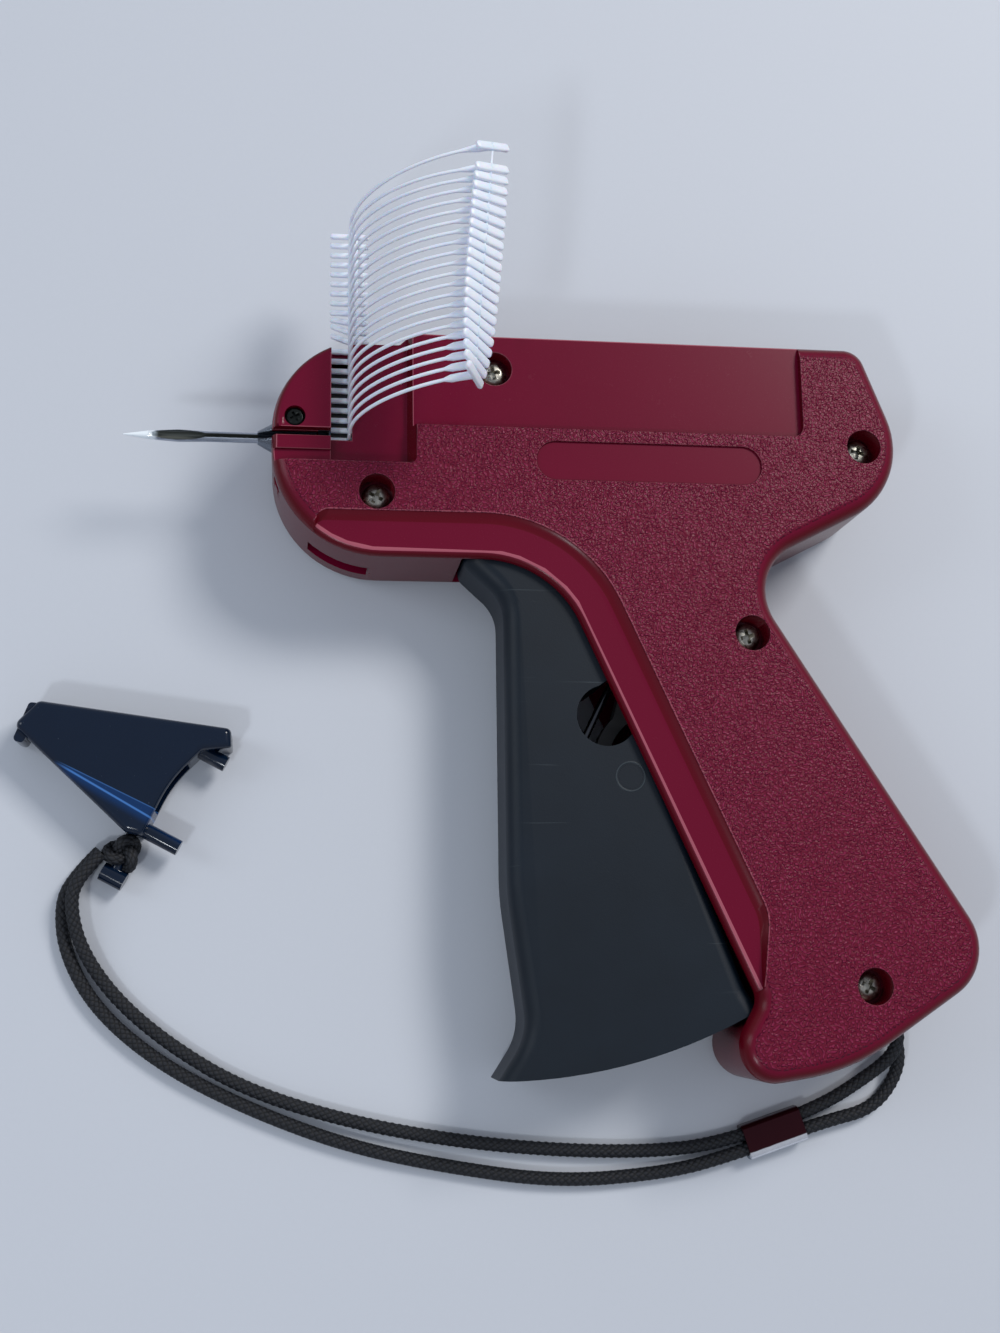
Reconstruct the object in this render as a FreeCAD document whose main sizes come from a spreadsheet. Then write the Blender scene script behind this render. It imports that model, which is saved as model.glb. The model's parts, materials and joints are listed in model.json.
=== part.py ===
import FreeCAD, Part
import math
import os
import Sketcher

# Garment tag attacher (tagging gun), lying on its side with its far shell on the table.
# Millimetres. X runs along the needle (the needle points to -X), Y across the barrel
# (the grip hangs towards -Y), Z up from the table. The origin lies on the table, on the
# drive lever's pivot axis.

V = FreeCAD.Vector
ALONG_X = V(1, 0, 0)
ALONG_Z = V(0, 0, 1)

doc = FreeCAD.newDocument("tag_attacher")

# ---------------------------------------------------------------- driving dimensions
SIZES = [
    # housing
    ("body_thickness", 26.0),
    ("face_step", 1.6),
    ("skin", 1.8),
    ("side_wall", 2.0),
    ("face_round", 3.4),
    ("ledge_round", 1.6),
    ("ledge_width", 6.9),
    ("slope_width", 2.0),
    ("nose_x", -79.2),
    ("nose_round", 19.3),
    ("barrel_bottom", 20.7),
    ("barrel_top", 68.0),
    ("feed_top", 65.8),
    ("panel_left", -50.2),
    ("panel_right", 30.4),
    ("panel_bottom", 47.7),
    ("feed_floor_drop", 3.8),
    ("feed_bottom", 39.6),
    ("pad_height", 2.9),
    ("nose_plate_height", 2.1),
    ("label_length", 47.0),
    ("label_width", 8.1),
    ("label_depth", 0.5),
    ("label_x", -2.4),
    ("label_y", 40.9),
    ("mouth_gap", 0.7),
    # housing screws
    ("bore_radius", 3.55),
    ("bore_depth", 6.0),
    ("boss_wall", 1.2),
    ("screw_head_radius", 2.9),
    ("screw_head_height", 2.2),
    ("screw_radius", 1.45),
    ("screw_length", 15.0),
    ("screw_clearance", 0.05),
    # needle line
    ("needle_y", 45.65),
    ("needle_depth", 6.0),
    ("needle_radius", 1.05),
    ("needle_bore", 0.72),
    ("needle_reach", 29.4),
    ("needle_tip_length", 5.1),
    ("needle_mouth_length", 11.5),
    ("needle_slot", 0.8),
    ("hub_radius", 2.9),
    ("hub_length", 9.0),
    ("hub_flare", 2.9),
    ("filament_gap", 1.3),
    # fasteners
    ("fastener_pitch", 2.12),
    ("fastener_count", 22),
    ("tbar_radius", 0.55),
    ("tbar_length", 8.1),
    ("tbar_x", -63.7),
    ("filament_radius", 0.3),
    ("paddle_x", -41.2),
    ("paddle_drift", 0.19),
    ("paddle_z", 49.0),
    ("paddle_length", 9.4),
    ("paddle_width", 1.5),
    ("paddle_thickness", 0.9),
    ("paddle_tilt", 24.0),
    ("paddle_fan", 28.0),
    ("paddle_fan_rows", 3.0),
    ("paddle_turn", 18.0),
    ("paddle_twist", 40.0),
    ("filament_lean", 3.9),
    ("last_lean", 2.4),
    ("neck_radius", 0.6),
    ("neck_length", 5.0),
    ("neck_taper", 1.4),
    # feed
    ("wheel_teeth", 14),
    ("wheel_thickness", 1.8),
    ("wheel_axle_radius", 0.8),
    # trigger
    ("trigger_pivot_x", -33.3),
    ("trigger_pivot_y", 24.7),
    ("trigger_pin_radius", 1.75),
    ("cheek_clearance", 0.4),
    ("trigger_wall", 1.8),
    ("trigger_front", -32.3),
    ("trigger_bend_y", -46.0),
    ("trigger_waist_x", -28.7),
    ("trigger_waist_y", -73.0),
    ("trigger_toe_drop", 10.5),
    ("trigger_toe_flare", 7.0),
    ("trigger_reach", 106.2),
    ("trigger_hub_radius", 7.0),
    ("trigger_squeeze", 20.0),
    ("trigger_edge_round", 3.6),
    ("drive_pin_x", -7.5),
    ("drive_pin_y", -23.1),
    ("drive_pin_radius", 2.4),
    # drive lever
    ("lever_swing", 49.0),
    ("lever_thickness", 4.0),
    ("lever_hub_radius", 6.6),
    ("lever_pin_radius", 2.0),
    ("lever_post_radius", 3.9),
    ("fork_play", 0.65),
    ("cam_play", 0.35),
    ("arm_wall", 2.8),
    # ram
    ("link_pin_radius", 1.5),
    ("rod_radius", 0.6),
    ("carriage_front", -12.8),
    ("carriage_back", 11.2),
    ("carriage_height", 8.6),
    ("carriage_clearance", 0.8),
    ("rail_thickness", 1.6),
    ("slide_clearance", 0.25),
    ("run_clearance", 0.05),
    # return spring
    ("spring_radius", 7.2),
    ("spring_wire", 0.75),
    ("spring_pitch", 1.56),
    ("spring_leg", 16.0),
    ("spring_stop_radius", 1.5),
    # needle cap
    ("cap_height", 9.6),
    ("cap_wall", 1.3),
    ("prong_radius", 1.6),
    ("prong_clearance", 0.15),
    ("prong_spacing", 19.2),
    ("prong_length", 6.6),
    # lanyard
    ("cord_radius", 1.4),
    ("lanyard_post_radius", 1.6),
    ("ferrule_wall", 0.6),
    ("ferrule_length", 12.6),
]

sheet = doc.addObject("Spreadsheet::Sheet", "Sizes")
for row, (alias, value) in enumerate(SIZES, start=1):
    sheet.set("A%d" % row, alias)
    sheet.set("B%d" % row, str(value))
    sheet.setAlias("B%d" % row, alias)
doc.recompute()


def size(alias):
    return float(sheet.get(alias))


# ---------------------------------------------------------------- shared levels and places
TOP = size("body_thickness")
MID = TOP / 2
LEDGE_Z = TOP - size("face_step")
CEILING = LEDGE_Z - size("skin")
FLOOR = TOP - CEILING
FEED_FLOOR = TOP - size("feed_floor_drop")
NOSE_FLOOR = TOP - size("nose_plate_height")
SEAT_Z = TOP - size("bore_depth")

PIVOT = V(size("trigger_pivot_x"), size("trigger_pivot_y"), 0)
DRIVE = V(size("drive_pin_x"), size("drive_pin_y"), 0)
NEEDLE_Y = size("needle_y")
NEEDLE_Z = TOP - size("needle_depth")
SQUEEZE = math.radians(size("trigger_squeeze"))
SWING = math.radians(size("lever_swing"))
LINK_X = NEEDLE_Y * math.tan(SWING / 2)
TRAVEL = 2 * LINK_X
# far enough past every wall for a cut to go right through
BEYOND = 90.0
TBAR_END = size("tbar_x") + size("tbar_length") / 2
TBAR_TIP = size("tbar_x") - size("tbar_length") / 2
ROD_TIP = TBAR_END + 0.4
CHEEK_TOP = CEILING - size("cheek_clearance")
CHEEK_BOTTOM = FLOOR + size("cheek_clearance")
CHEEK_FOOT = "Sizes.face_step + Sizes.skin + Sizes.cheek_clearance"
CARRIAGE_FOOT = "Sizes.face_step + Sizes.skin + Sizes.carriage_clearance"
CARRIAGE_WIDTH = "Sizes.body_thickness - 2 * (%s)" % CARRIAGE_FOOT

# The housing's outline, corner by corner, as (x, y, corner radius).
OUTLINE = [
    (size("nose_x"), size("feed_top"), size("nose_round")),
    (size("nose_x"), size("barrel_bottom"), 22.0),
    (-22.9, size("barrel_bottom"), 21.5),
    (16.3, -66.9, 4.0),
    (6.0, -84.8, 7.0),
    (34.8, -80.8, 45.0),
    (66.4, -60.5, 11.0),
    (16.9, 19.1, 11.0),
    (55.1, 38.6, 17.0),
    (43.9, size("barrel_top"), 5.0),
    (-51.2, size("barrel_top"), 0.8),
    (-53.4, size("feed_top"), 0.8),
]

# Screws: nose, barrel top, barrel rear, grip top and grip bottom.
SCREWS = [V(-58.2, 33.4, 0), V(-34.1, 60.6, 0), V(43.3, 45.8, 0), V(17.7, 5.7, 0), V(39.4, -64.7, 0)]

NOSE_NOTCH = V(-66.3, 22.2, 0)
NOSE_SCREW = V(size("nose_x") + 4.6, NEEDLE_Y + 2.95, 0)
LANYARD = V(47.6, -64.6, 0)
LANYARD_WAY = V(0.30, -0.954, 0)
WHEEL_TIP = size("wheel_teeth") * size("fastener_pitch") / (2 * math.pi) + 0.75
WHEEL_ROOT = WHEEL_TIP - 1.5
WHEEL = V(TBAR_END + WHEEL_TIP - 1.0, NEEDLE_Y + 3.5 * size("fastener_pitch"), 0)
WHEEL_LOW = NEEDLE_Z - 1.2


# ---------------------------------------------------------------- small builders
def box(low, high):
    span = high - low
    return Part.makeBox(span.x, span.y, span.z, low)


def upright(centre, radius, bottom, top):
    return Part.makeCylinder(radius, top - bottom, V(centre.x, centre.y, bottom), ALONG_Z)


def lengthwise(y, z, radius, front, back):
    return Part.makeCylinder(radius, back - front, V(front, y, z), ALONG_X)


def turned(point, angle, about=V(0, 0, 0)):
    away = point - about
    c, s = math.cos(angle), math.sin(angle)
    return V(about.x + away.x * c - away.y * s, about.y + away.x * s + away.y * c, point.z)


def rounded_wire(corners, z):
    """Closed outline of straight sides joined by tangent arcs; radius 0 keeps a corner sharp."""
    points = [V(x, y, z) for x, y, radius in corners]
    joints = []
    for i, (x, y, radius) in enumerate(corners):
        here = points[i]
        back = (points[i - 1] - here).normalize()
        ahead = (points[(i + 1) % len(points)] - here).normalize()
        if radius <= 0:
            joints.append((here, None, here))
            continue
        half = back.getAngle(ahead) / 2
        run = radius / math.tan(half)
        inward = (back + ahead).normalize()
        middle = here + inward * (radius / math.sin(half) - radius)
        joints.append((here + back * run, middle, here + ahead * run))
    edges = []
    for i, (start, middle, end) in enumerate(joints):
        if middle is not None:
            edges.append(Part.Arc(start, middle, end).toShape())
        following = joints[(i + 1) % len(joints)][0]
        if end.distanceToPoint(following) > 1e-6:
            edges.append(Part.LineSegment(end, following).toShape())
    return Part.Wire(edges)


def slab(wire, thickness):
    return Part.Face(wire).extrude(V(0, 0, thickness))


def prism(corners, bottom, top):
    return slab(rounded_wire(corners, bottom), top - bottom)


def flat_edges(solid, z):
    return [e for e in solid.Edges if abs(e.BoundBox.ZMin - z) < 1e-5 and abs(e.BoundBox.ZMax - z) < 1e-5]


def round_level(solid, z, radius):
    return solid.makeFillet(radius, flat_edges(solid, z))


def fused(shapes):
    return shapes[0].multiFuse(shapes[1:]).removeSplitter()


def feature(label, shape, place=None):
    item = doc.addObject("Part::Feature", label)
    item.Label = label
    item.Shape = shape
    item.Placement = place or shape.Placement
    return item


def bound(item, bindings):
    for prop, expression in bindings:
        item.setExpression(prop, expression)
    return item


def pin(label, x, y, bottom, radius, length):
    """A plain round pin along Z whose sizes are bound to the sheet."""
    item = doc.addObject("Part::Cylinder", label)
    item.Label = label
    return bound(item, [
        ("Radius", radius), ("Height", length),
        ("Placement.Base.x", x), ("Placement.Base.y", y), ("Placement.Base.z", bottom),
    ])


def origin_plane(body, role):
    return next(f for f in body.Origin.OriginFeatures if f.Role == role)


def new_sketch(body, name, role="XY_Plane", offset=None):
    sketch = body.newObject("Sketcher::SketchObject", name)
    sketch.AttachmentSupport = (origin_plane(body, role), "")
    sketch.MapMode = "FlatFace"
    if offset:
        sketch.setExpression("AttachmentOffset.Base.z", offset)
    return sketch


def value_of(expression):
    """A number, or an expression of the sheet's aliases, as a number."""
    if isinstance(expression, str):
        return float(sheet.evalExpression(expression.replace("Sizes.", "")))
    return float(expression)


def dimension(sketch, kind, places, expression):
    value = value_of(expression)
    if kind in ("DistanceX", "DistanceY") and abs(value) < 1e-9:
        axis = -2 if kind == "DistanceX" else -1
        sketch.addConstraint(Sketcher.Constraint("PointOnObject", places[2], places[3], axis))
        return
    index = sketch.addConstraint(Sketcher.Constraint(kind, *places, value))
    if isinstance(expression, str):
        sketch.setExpression("Constraints[%d]" % index, expression)


def polygon(sketch, corners):
    """Closed outline of straight sides whose corners are bound one by one."""
    first = sketch.GeometryCount
    count = len(corners)
    places = [V(value_of(x), value_of(y), 0) for x, y in corners]
    for i in range(count):
        sketch.addGeometry(Part.LineSegment(places[i], places[(i + 1) % count]))
    for i in range(count):
        sketch.addConstraint(Sketcher.Constraint("Coincident", first + i, 2, first + (i + 1) % count, 1))
    for i, (x, y) in enumerate(corners):
        dimension(sketch, "DistanceX", (-1, 1, first + i, 1), x)
        dimension(sketch, "DistanceY", (-1, 1, first + i, 1), y)


def circle(sketch, x, y, radius):
    index = sketch.addGeometry(Part.Circle(V(value_of(x), value_of(y), 0), ALONG_Z, value_of(radius)))
    dimension(sketch, "Radius", (index,), radius)
    dimension(sketch, "DistanceX", (-1, 1, index, 3), x)
    dimension(sketch, "DistanceY", (-1, 1, index, 3), y)


def new_body(label):
    body = doc.addObject("PartDesign::Body", label)
    body.Label = label
    return body


def padded(body, sketch, length, name="Pad"):
    pad = body.newObject("PartDesign::Pad", name)
    pad.Profile = sketch
    pad.setExpression("Length", length)
    return pad


def pocketed(body, sketch, length, name="Pocket", reverse=False):
    """Cuts towards the sketch's back, or forwards with reverse, and proves that it cut."""
    doc.recompute()
    before = body.Shape.Volume
    pocket = body.newObject("PartDesign::Pocket", name)
    pocket.Profile = sketch
    pocket.setExpression("Length", length)
    pocket.Reversed = reverse
    doc.recompute()
    if not body.Shape.Volume < before - 1e-6:
        raise RuntimeError(body.Label + ": " + name + " cuts nothing")
    return pocket


def revolved(body, sketch, axis, name="Revolution"):
    turn = body.newObject("PartDesign::Revolution", name)
    turn.Profile = sketch
    turn.ReferenceAxis = (sketch, [axis])
    turn.Angle = 360.0
    return turn


# ---------------------------------------------------------------- housing shells
def outer_shape():
    """One shell's solid before hollowing, face up, from the parting plane to the face."""
    body = round_level(prism(OUTLINE, MID, TOP), TOP, size("face_round"))
    low = round_level(prism(OUTLINE, MID, LEDGE_Z), LEDGE_Z, size("ledge_round"))
    wide = size("ledge_width") + size("slope_width")
    foot = prism(ledge_corners(size("ledge_width")), MID - 1, LEDGE_Z)
    slope = Part.makeLoft([
        rounded_wire(ledge_corners(size("ledge_width")), LEDGE_Z),
        rounded_wire(ledge_corners(wide), TOP),
        rounded_wire(ledge_corners(wide), TOP + 2),
    ], True, True)
    return body.cut(foot).cut(slope).fuse(low).removeSplitter()


def ledge_corners(width):
    """The smooth strip under the barrel and down the grip's front, width measured inwards."""
    nose, under = size("nose_x"), size("barrel_bottom")
    slant = V(39.2, -87.6, 0).normalize()
    inward = V(-slant.y, slant.x, 0)
    top = V(-22.9, under, 0) + inward * width
    bend = V(top.x + slant.x * (under + width - top.y) / slant.y, under + width, 0)
    tail = V(16.3, -66.9, 0) + inward * width - slant * 14.0
    tip = V(16.3, -66.9, 0) + inward * 1.5 - slant * 1.5
    return [
        (nose + 7.5, under + width, 0.6 + width / 4),
        (nose + 14.0, under - 9.0, 0.5),
        (-36.0, under - 9.0, 8.0),
        (2.0, -72.0, 0.5),
        (tip.x, tip.y, 0.5),
        (tail.x, tail.y, 9.0),
        (bend.x, bend.y, 21.5 + width),
    ]


def mouth():
    """The gap in both side walls that the trigger swings through."""
    front = PIVOT.x - size("trigger_hub_radius") - size("mouth_gap")
    area = prism([
        (front, size("barrel_bottom") + 4.2, 0),
        (front, -90.0, 0),
        (25.0, -90.0, 0),
        (25.0, -70.0, 0),
        (-12.0, size("barrel_bottom") - 6.0, 8.0),
        (-20.5, size("barrel_bottom") + 4.2, 2.0),
    ], FLOOR, CEILING)
    reach = upright(PIVOT, size("trigger_reach") + 1.2, FLOOR, CEILING)
    return area.common(reach)


def cavity(bottom, top):
    wire = rounded_wire(OUTLINE, bottom).makeOffset2D(-size("side_wall"))
    return slab(wire, top - bottom)


def rails(bottom, top):
    gap = size("carriage_height") / 2 + size("slide_clearance")
    front = LINK_X + size("carriage_front") - TRAVEL - 1.5
    back = LINK_X + size("carriage_back") + 1.5
    made = []
    for low in (NEEDLE_Y + gap, NEEDLE_Y - gap - size("rail_thickness")):
        made.append(box(V(front, low, bottom), V(back, low + size("rail_thickness"), top)))
    return made


def rail_reach():
    """How far the rails may come in from each shell and leave the lever free."""
    return size("lever_thickness") / 2 + 1.2


def lanyard_slot():
    """The slot in the grip's bottom wall that the two cords leave by."""
    way = V(LANYARD_WAY)
    across = turned(way, math.pi / 2)
    start = LANYARD + way * 1.0
    end = LANYARD + way * 14.0
    half = size("cord_radius") + 0.35
    corners = [start + across * half, start - across * half, end - across * half, end + across * half]
    return prism([(p.x, p.y, 0) for p in corners], CORD_EXIT_LOW - half, CORD_EXIT_HIGH + half)


CORD_EXIT_LOW = FLOOR + 1.9
CORD_EXIT_HIGH = CORD_EXIT_LOW + 2 * size("cord_radius") + 0.3


def near_shell():
    boss = size("bore_radius") + size("boss_wall")
    shell = outer_shape().cut(cavity(MID - 1, CEILING)).cut(mouth())
    nose = rounded_wire(OUTLINE, FEED_FLOOR - 1.4).makeOffset2D(-size("side_wall") / 2)
    nose_area = slab(nose, CEILING - FEED_FLOOR + 2.4)
    fill = nose_area.common(box(V(-BEYOND, 31.5, FEED_FLOOR - 1.4), V(-49.0, 80, CEILING + 1)))
    block = slab(rounded_wire(OUTLINE, MID).makeOffset2D(-size("side_wall") / 2), CEILING - MID + 1)
    block = block.common(box(V(-BEYOND, 31.5, MID), V(TBAR_TIP - 0.5, 59.5, CEILING + 1)))
    inside = [fill, block]
    inside += [upright(p, boss, MID + 0.1, CEILING + 1) for p in SCREWS]
    inside += rails(MID + rail_reach(), CEILING + 0.5)
    inside.append(upright(V(0, 0, 0), size("lever_post_radius"), MID + size("lever_thickness") / 2 + 0.2,
                          CEILING + 0.5))
    inside.append(upright(SPRING_STOP, SPRING_STOP_RADIUS, CEILING - 4.6, CEILING + 0.5))
    inside.append(box(V(TBAR_END + 0.4, NEEDLE_Y - 2.2, FEED_FLOOR - 4.6),
                      V(TBAR_END + 4.6, NEEDLE_Y + 1.6, FEED_FLOOR - 1.0)))
    inside.append(box(V(TBAR_END + 0.4, WHEEL.y + WHEEL_TIP + 0.5, NEEDLE_Z - 2.0),
                      V(TBAR_END + 1.8, size("feed_top") - size("side_wall"), FEED_FLOOR - 1.0)))
    shell = fused([shell] + inside)
    return shell.cut(Part.makeCompound(near_cuts()))


def near_cuts():
    deep = TOP + 3
    panel_left, panel_bottom = size("panel_left"), size("panel_bottom")
    cuts = [upright(p, size("bore_radius"), SEAT_Z, deep) for p in SCREWS]
    cuts += [upright(p, size("screw_radius") + 0.25, MID, deep) for p in SCREWS]
    # smooth panel along the barrel's top edge
    cuts.append(prism([
        (panel_left - 6, panel_bottom, 0), (size("panel_right"), panel_bottom, 2.2),
        (size("panel_right"), 80, 0), (panel_left - 6, 80, 0)], LEDGE_Z, deep))
    # feed recess in front of it, with a slanting right wall
    lean = size("feed_floor_drop") * 0.45
    right = panel_left - lean
    low = [(TBAR_TIP + 0.35, size("feed_bottom"), 0), (right, size("feed_bottom"), 1.2),
           (right, 80, 0), (TBAR_TIP + 0.35, 80, 0)]
    high = [(x + lean if x == right else x, y, r) for x, y, r in low]
    cuts.append(Part.makeLoft([rounded_wire(low, FEED_FLOOR), rounded_wire(high, TOP),
                               rounded_wire(high, deep)], True, True))
    # nose: seat of the nose plate, pad under the needle slot, lower step
    plate_bottom = NEEDLE_Y + size("filament_gap") / 2
    pad_top = NEEDLE_Y - size("filament_gap") / 2
    cuts.append(box(V(-BEYOND, plate_bottom, NOSE_FLOOR), V(TBAR_TIP + 0.36, BEYOND, deep)))
    cuts.append(box(V(-BEYOND, pad_top - size("pad_height"), TOP - 1.0), V(TBAR_TIP + 0.36, plate_bottom + 1, deep)))
    cuts.append(box(V(-BEYOND, size("feed_bottom"), TOP - 1.7), V(TBAR_TIP + 0.36, pad_top - size("pad_height") + 0.01,
                                                        deep)))
    cuts.append(label_recess(TOP))
    # needle line: hub bore, T-bar channel, filament slots, guide for the push rod
    cuts.append(lengthwise(NEEDLE_Y, NEEDLE_Z, size("hub_radius") + 0.04, -BEYOND, TBAR_TIP - 0.5))
    cuts.append(box(V(-BEYOND, pad_top, NEEDLE_Z), V(TBAR_TIP + 1, plate_bottom, deep)))
    cuts.append(tbar_channel(deep))
    cuts.append(lengthwise(NEEDLE_Y, NEEDLE_Z, size("rod_radius") + size("run_clearance"), TBAR_END, 0))
    for side in (1, -1):
        y = NEEDLE_Y + side * size("prong_spacing") / 2
        cuts.append(lengthwise(y, NEEDLE_Z, size("prong_radius") + size("prong_clearance"), -90,
                               size("nose_x") + size("prong_length") + 2.8))
    cuts.append(blade_seat(0.05))
    cuts.append(upright(NOSE_SCREW, 1.0 + size("screw_clearance"), NOSE_FLOOR - 1.2, deep))
    # seats of the two pivot pins and the wheel's axle
    cuts.append(upright(V(0, 0, 0), size("lever_pin_radius") + 0.02, MID, CEILING + 0.8))
    cuts.append(upright(PIVOT, size("trigger_pin_radius") + 0.02, MID, CEILING + 0.8))
    cuts.append(upright(LANYARD, size("lanyard_post_radius") + 0.02, MID, CEILING + 0.8))
    return cuts


def label_recess(face):
    """A bare shallow oblong on the barrel."""
    half = size("label_width") / 2
    left, right = size("label_x") - size("label_length") / 2, size("label_x") + size("label_length") / 2
    corners = [(left, size("label_y") - half, half - 0.01), (right, size("label_y") - half, half - 0.01),
               (right, size("label_y") + half, half - 0.01), (left, size("label_y") + half, half - 0.01)]
    return prism(corners, face - size("label_depth"), face + 2)


def tbar_channel(deep):
    """Slot that the T-bars slide down in, and the narrower slit that their filaments leave by."""
    half = size("tbar_radius") + 0.1
    low = NEEDLE_Y - half
    bars = box(V(TBAR_TIP - 0.35, low, NEEDLE_Z - half), V(TBAR_END + 0.35, BEYOND, NEEDLE_Z + half))
    slit = box(V(TBAR_TIP + 0.35, low, NEEDLE_Z), V(size("tbar_x") + 0.6, BEYOND, deep))
    wheel = upright(WHEEL, WHEEL_TIP + 0.4, NEEDLE_Z - 2, NEEDLE_Z + half)
    return bars.fuse([slit, wheel])


def far_shell():
    """Mirror of the near shell's outer form, with the posts that the screws bite in."""
    post = size("screw_radius") + 2.1
    mirrored = outer_shape().mirror(V(0, 0, MID), ALONG_Z)
    shell = mirrored.cut(cavity(FLOOR, MID + 1)).cut(mouth())
    inside = [upright(p, post, FLOOR - 0.5, MID) for p in SCREWS]
    inside += rails(FLOOR - 0.5, MID - rail_reach())
    inside.append(upright(V(0, 0, 0), size("lever_post_radius"), FLOOR - 0.5,
                          MID - size("lever_thickness") / 2 - 0.2))
    inside.append(upright(WHEEL, 2.4, FLOOR - 0.5, WHEEL_LOW - 0.1))
    inside.append(upright(LANYARD, 2.9, FLOOR - 0.5, CORD_EXIT_LOW - size("cord_radius") - 0.15))
    shell = fused([shell] + inside)
    cuts = [upright(p, size("screw_radius") + size("screw_clearance"), FLOOR, MID + 1) for p in SCREWS]
    cuts.append(upright(V(0, 0, 0), size("lever_pin_radius") + 0.02, FLOOR - 0.8, MID))
    cuts.append(upright(PIVOT, size("trigger_pin_radius") + 0.02, FLOOR - 0.8, MID))
    cuts.append(upright(WHEEL, size("wheel_axle_radius") + 0.02, FLOOR, NEEDLE_Z))
    cuts.append(upright(LANYARD, size("lanyard_post_radius") + 0.02, FLOOR - 0.8, MID))
    cuts.append(label_recess(TOP).mirror(V(0, 0, MID), ALONG_Z))
    cuts.append(lanyard_slot())
    # notch in the nose's lower wall, along the parting line
    notch = box(V(-6.6, -4, MID - 5.6), V(6.6, 4, MID + 1))
    notch.rotate(V(0, 0, 0), ALONG_Z, -29)
    notch.translate(NOSE_NOTCH)
    cuts.append(notch)
    return shell.cut(Part.makeCompound(cuts))


# ---------------------------------------------------------------- return spring
def spring_path():
    """Torsion spring round the lever's post: one leg on the trigger's front wall, one on a stop."""
    radius, wire = size("spring_radius"), size("spring_wire")
    low = MID + size("lever_thickness") / 2 + wire + 0.2
    leg_way = V(-0.453, -0.891, 0).normalize()
    start = turned(leg_way, -math.pi / 2) * radius
    wall_x = size("trigger_front") + size("trigger_wall") + 0.9
    reach = (start.x - wall_x) / -leg_way.x
    tip = start + leg_way * reach
    stop_way = V(math.cos(math.radians(20)), math.sin(math.radians(20)), 0)
    last = turned(stop_way, math.pi / 2) * radius
    return low, start, tip, last, stop_way


SPRING_STOP_RADIUS = size("spring_stop_radius")
SPRING_LOW, SPRING_START, SPRING_TIP, SPRING_LAST, SPRING_WAY = spring_path()
SPRING_STOP = (SPRING_LAST + SPRING_WAY * 13.0
               + turned(SPRING_WAY, math.pi / 2) * (SPRING_STOP_RADIUS + size("spring_wire") + 0.08))


def return_spring():
    """One wire: leg, a little over two turns, leg, lofted through rings along its middle line."""
    radius, wire = size("spring_radius"), size("spring_wire")
    first = math.atan2(SPRING_START.y, SPRING_START.x)
    last = math.atan2(SPRING_LAST.y, SPRING_LAST.x)
    sweep = 4 * math.pi + first - last
    steps = 42
    rings = [(V(SPRING_TIP.x, SPRING_TIP.y, SPRING_LOW), SPRING_START - SPRING_TIP)]
    for step in range(steps + 1):
        angle = first - sweep * step / steps
        place = V(radius * math.cos(angle), radius * math.sin(angle),
                  SPRING_LOW + size("spring_pitch") * sweep * step / steps / (2 * math.pi))
        rings.append((place, V(math.sin(angle), -math.cos(angle), 0)))
    end = rings[-1][0]
    rings.append((end + SPRING_WAY * size("spring_leg"), SPRING_WAY))
    sections = [Part.Wire(Part.makeCircle(wire, place, way)) for place, way in rings]
    return Part.makeLoft(sections, True, True)


# ---------------------------------------------------------------- trigger
def trigger_front_line(inset):
    """Front of the trigger, going down: straight, leaning back to a waist, then flared out to the toe."""
    front, waist, low = size("trigger_front") + inset, size("trigger_waist_x") + inset, size("trigger_waist_y")
    return [
        (front, size("trigger_bend_y"), 60.0),
        (waist, low, 12.0 - inset),
        (waist - size("trigger_toe_flare"), low - size("trigger_toe_drop"), 0),
    ]


def trigger_corners():
    hub, front = size("trigger_hub_radius"), size("trigger_front")
    left, top = PIVOT.x - hub, PIVOT.y + hub
    below = PIVOT.y - size("trigger_reach") - 6.0
    return [
        (left, top, hub - 0.01),
        (left, PIVOT.y - 4.6, 3.0),
        (front, PIVOT.y - 12.0, 9.0),
    ] + trigger_front_line(0) + [
        (size("trigger_waist_x"), below, 0),
        (30.0, below, 0),
        (14.9, -64.5, 4.0),
        (-3.0, -14.0, 5.0),
        (-11.6, 8.0, 9.0),
        (PIVOT.x + hub + 0.6, top, hub - 0.01),
    ]


def trigger_outline(bottom, top):
    area = prism(trigger_corners(), bottom, top)
    return area.common(upright(PIVOT, size("trigger_reach"), bottom, top))


def trigger():
    """A U-channel: two cheeks joined by the finger wall and the foot, with a hub at the pivot."""
    wall = size("trigger_wall")
    body = trigger_outline(CHEEK_BOTTOM, CHEEK_TOP)
    lines = [e for z in (CHEEK_BOTTOM, CHEEK_TOP) for e in flat_edges(body, z)
             if e.BoundBox.XMax < size("trigger_waist_x") + 0.1]
    body = body.makeFillet(size("trigger_edge_round"), lines)
    low, high = CHEEK_BOTTOM + wall, CHEEK_TOP - wall
    reach = upright(PIVOT, size("trigger_reach") - wall, low, high)
    hollow = prism([
        (size("trigger_front") + wall, PIVOT.y - 16.0, 5.0)] + trigger_front_line(wall) + [
        (size("trigger_waist_x"), -BEYOND, 0),
        (60, -BEYOND, 0),
        (60, 60, 0),
        (size("trigger_front") + wall + 6, 60, 0),
        (size("trigger_front") + wall + 6, PIVOT.y - 9.0, 3.0)], low, high).common(reach)
    edge = hollow_edge(low, high)
    body = body.cut(hollow).cut(edge)
    body = body.fuse(upright(PIVOT, size("trigger_pin_radius") + 2.4, low - 0.2, high + 0.2))
    bores = [upright(PIVOT, size("trigger_pin_radius") + size("run_clearance"), 0, TOP),
             upright(DRIVE, size("drive_pin_radius") + 0.02, 0, TOP), post_slot()]
    return body.cut(Part.makeCompound(bores)).removeSplitter()


def hollow_edge(low, high):
    """Opens the channel's top in front of the hub, where it swings inside the barrel."""
    return box(V(PIVOT.x - 12, PIVOT.y - 3.0, low), V(size("trigger_front") + 9, PIVOT.y + 12, high))


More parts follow.
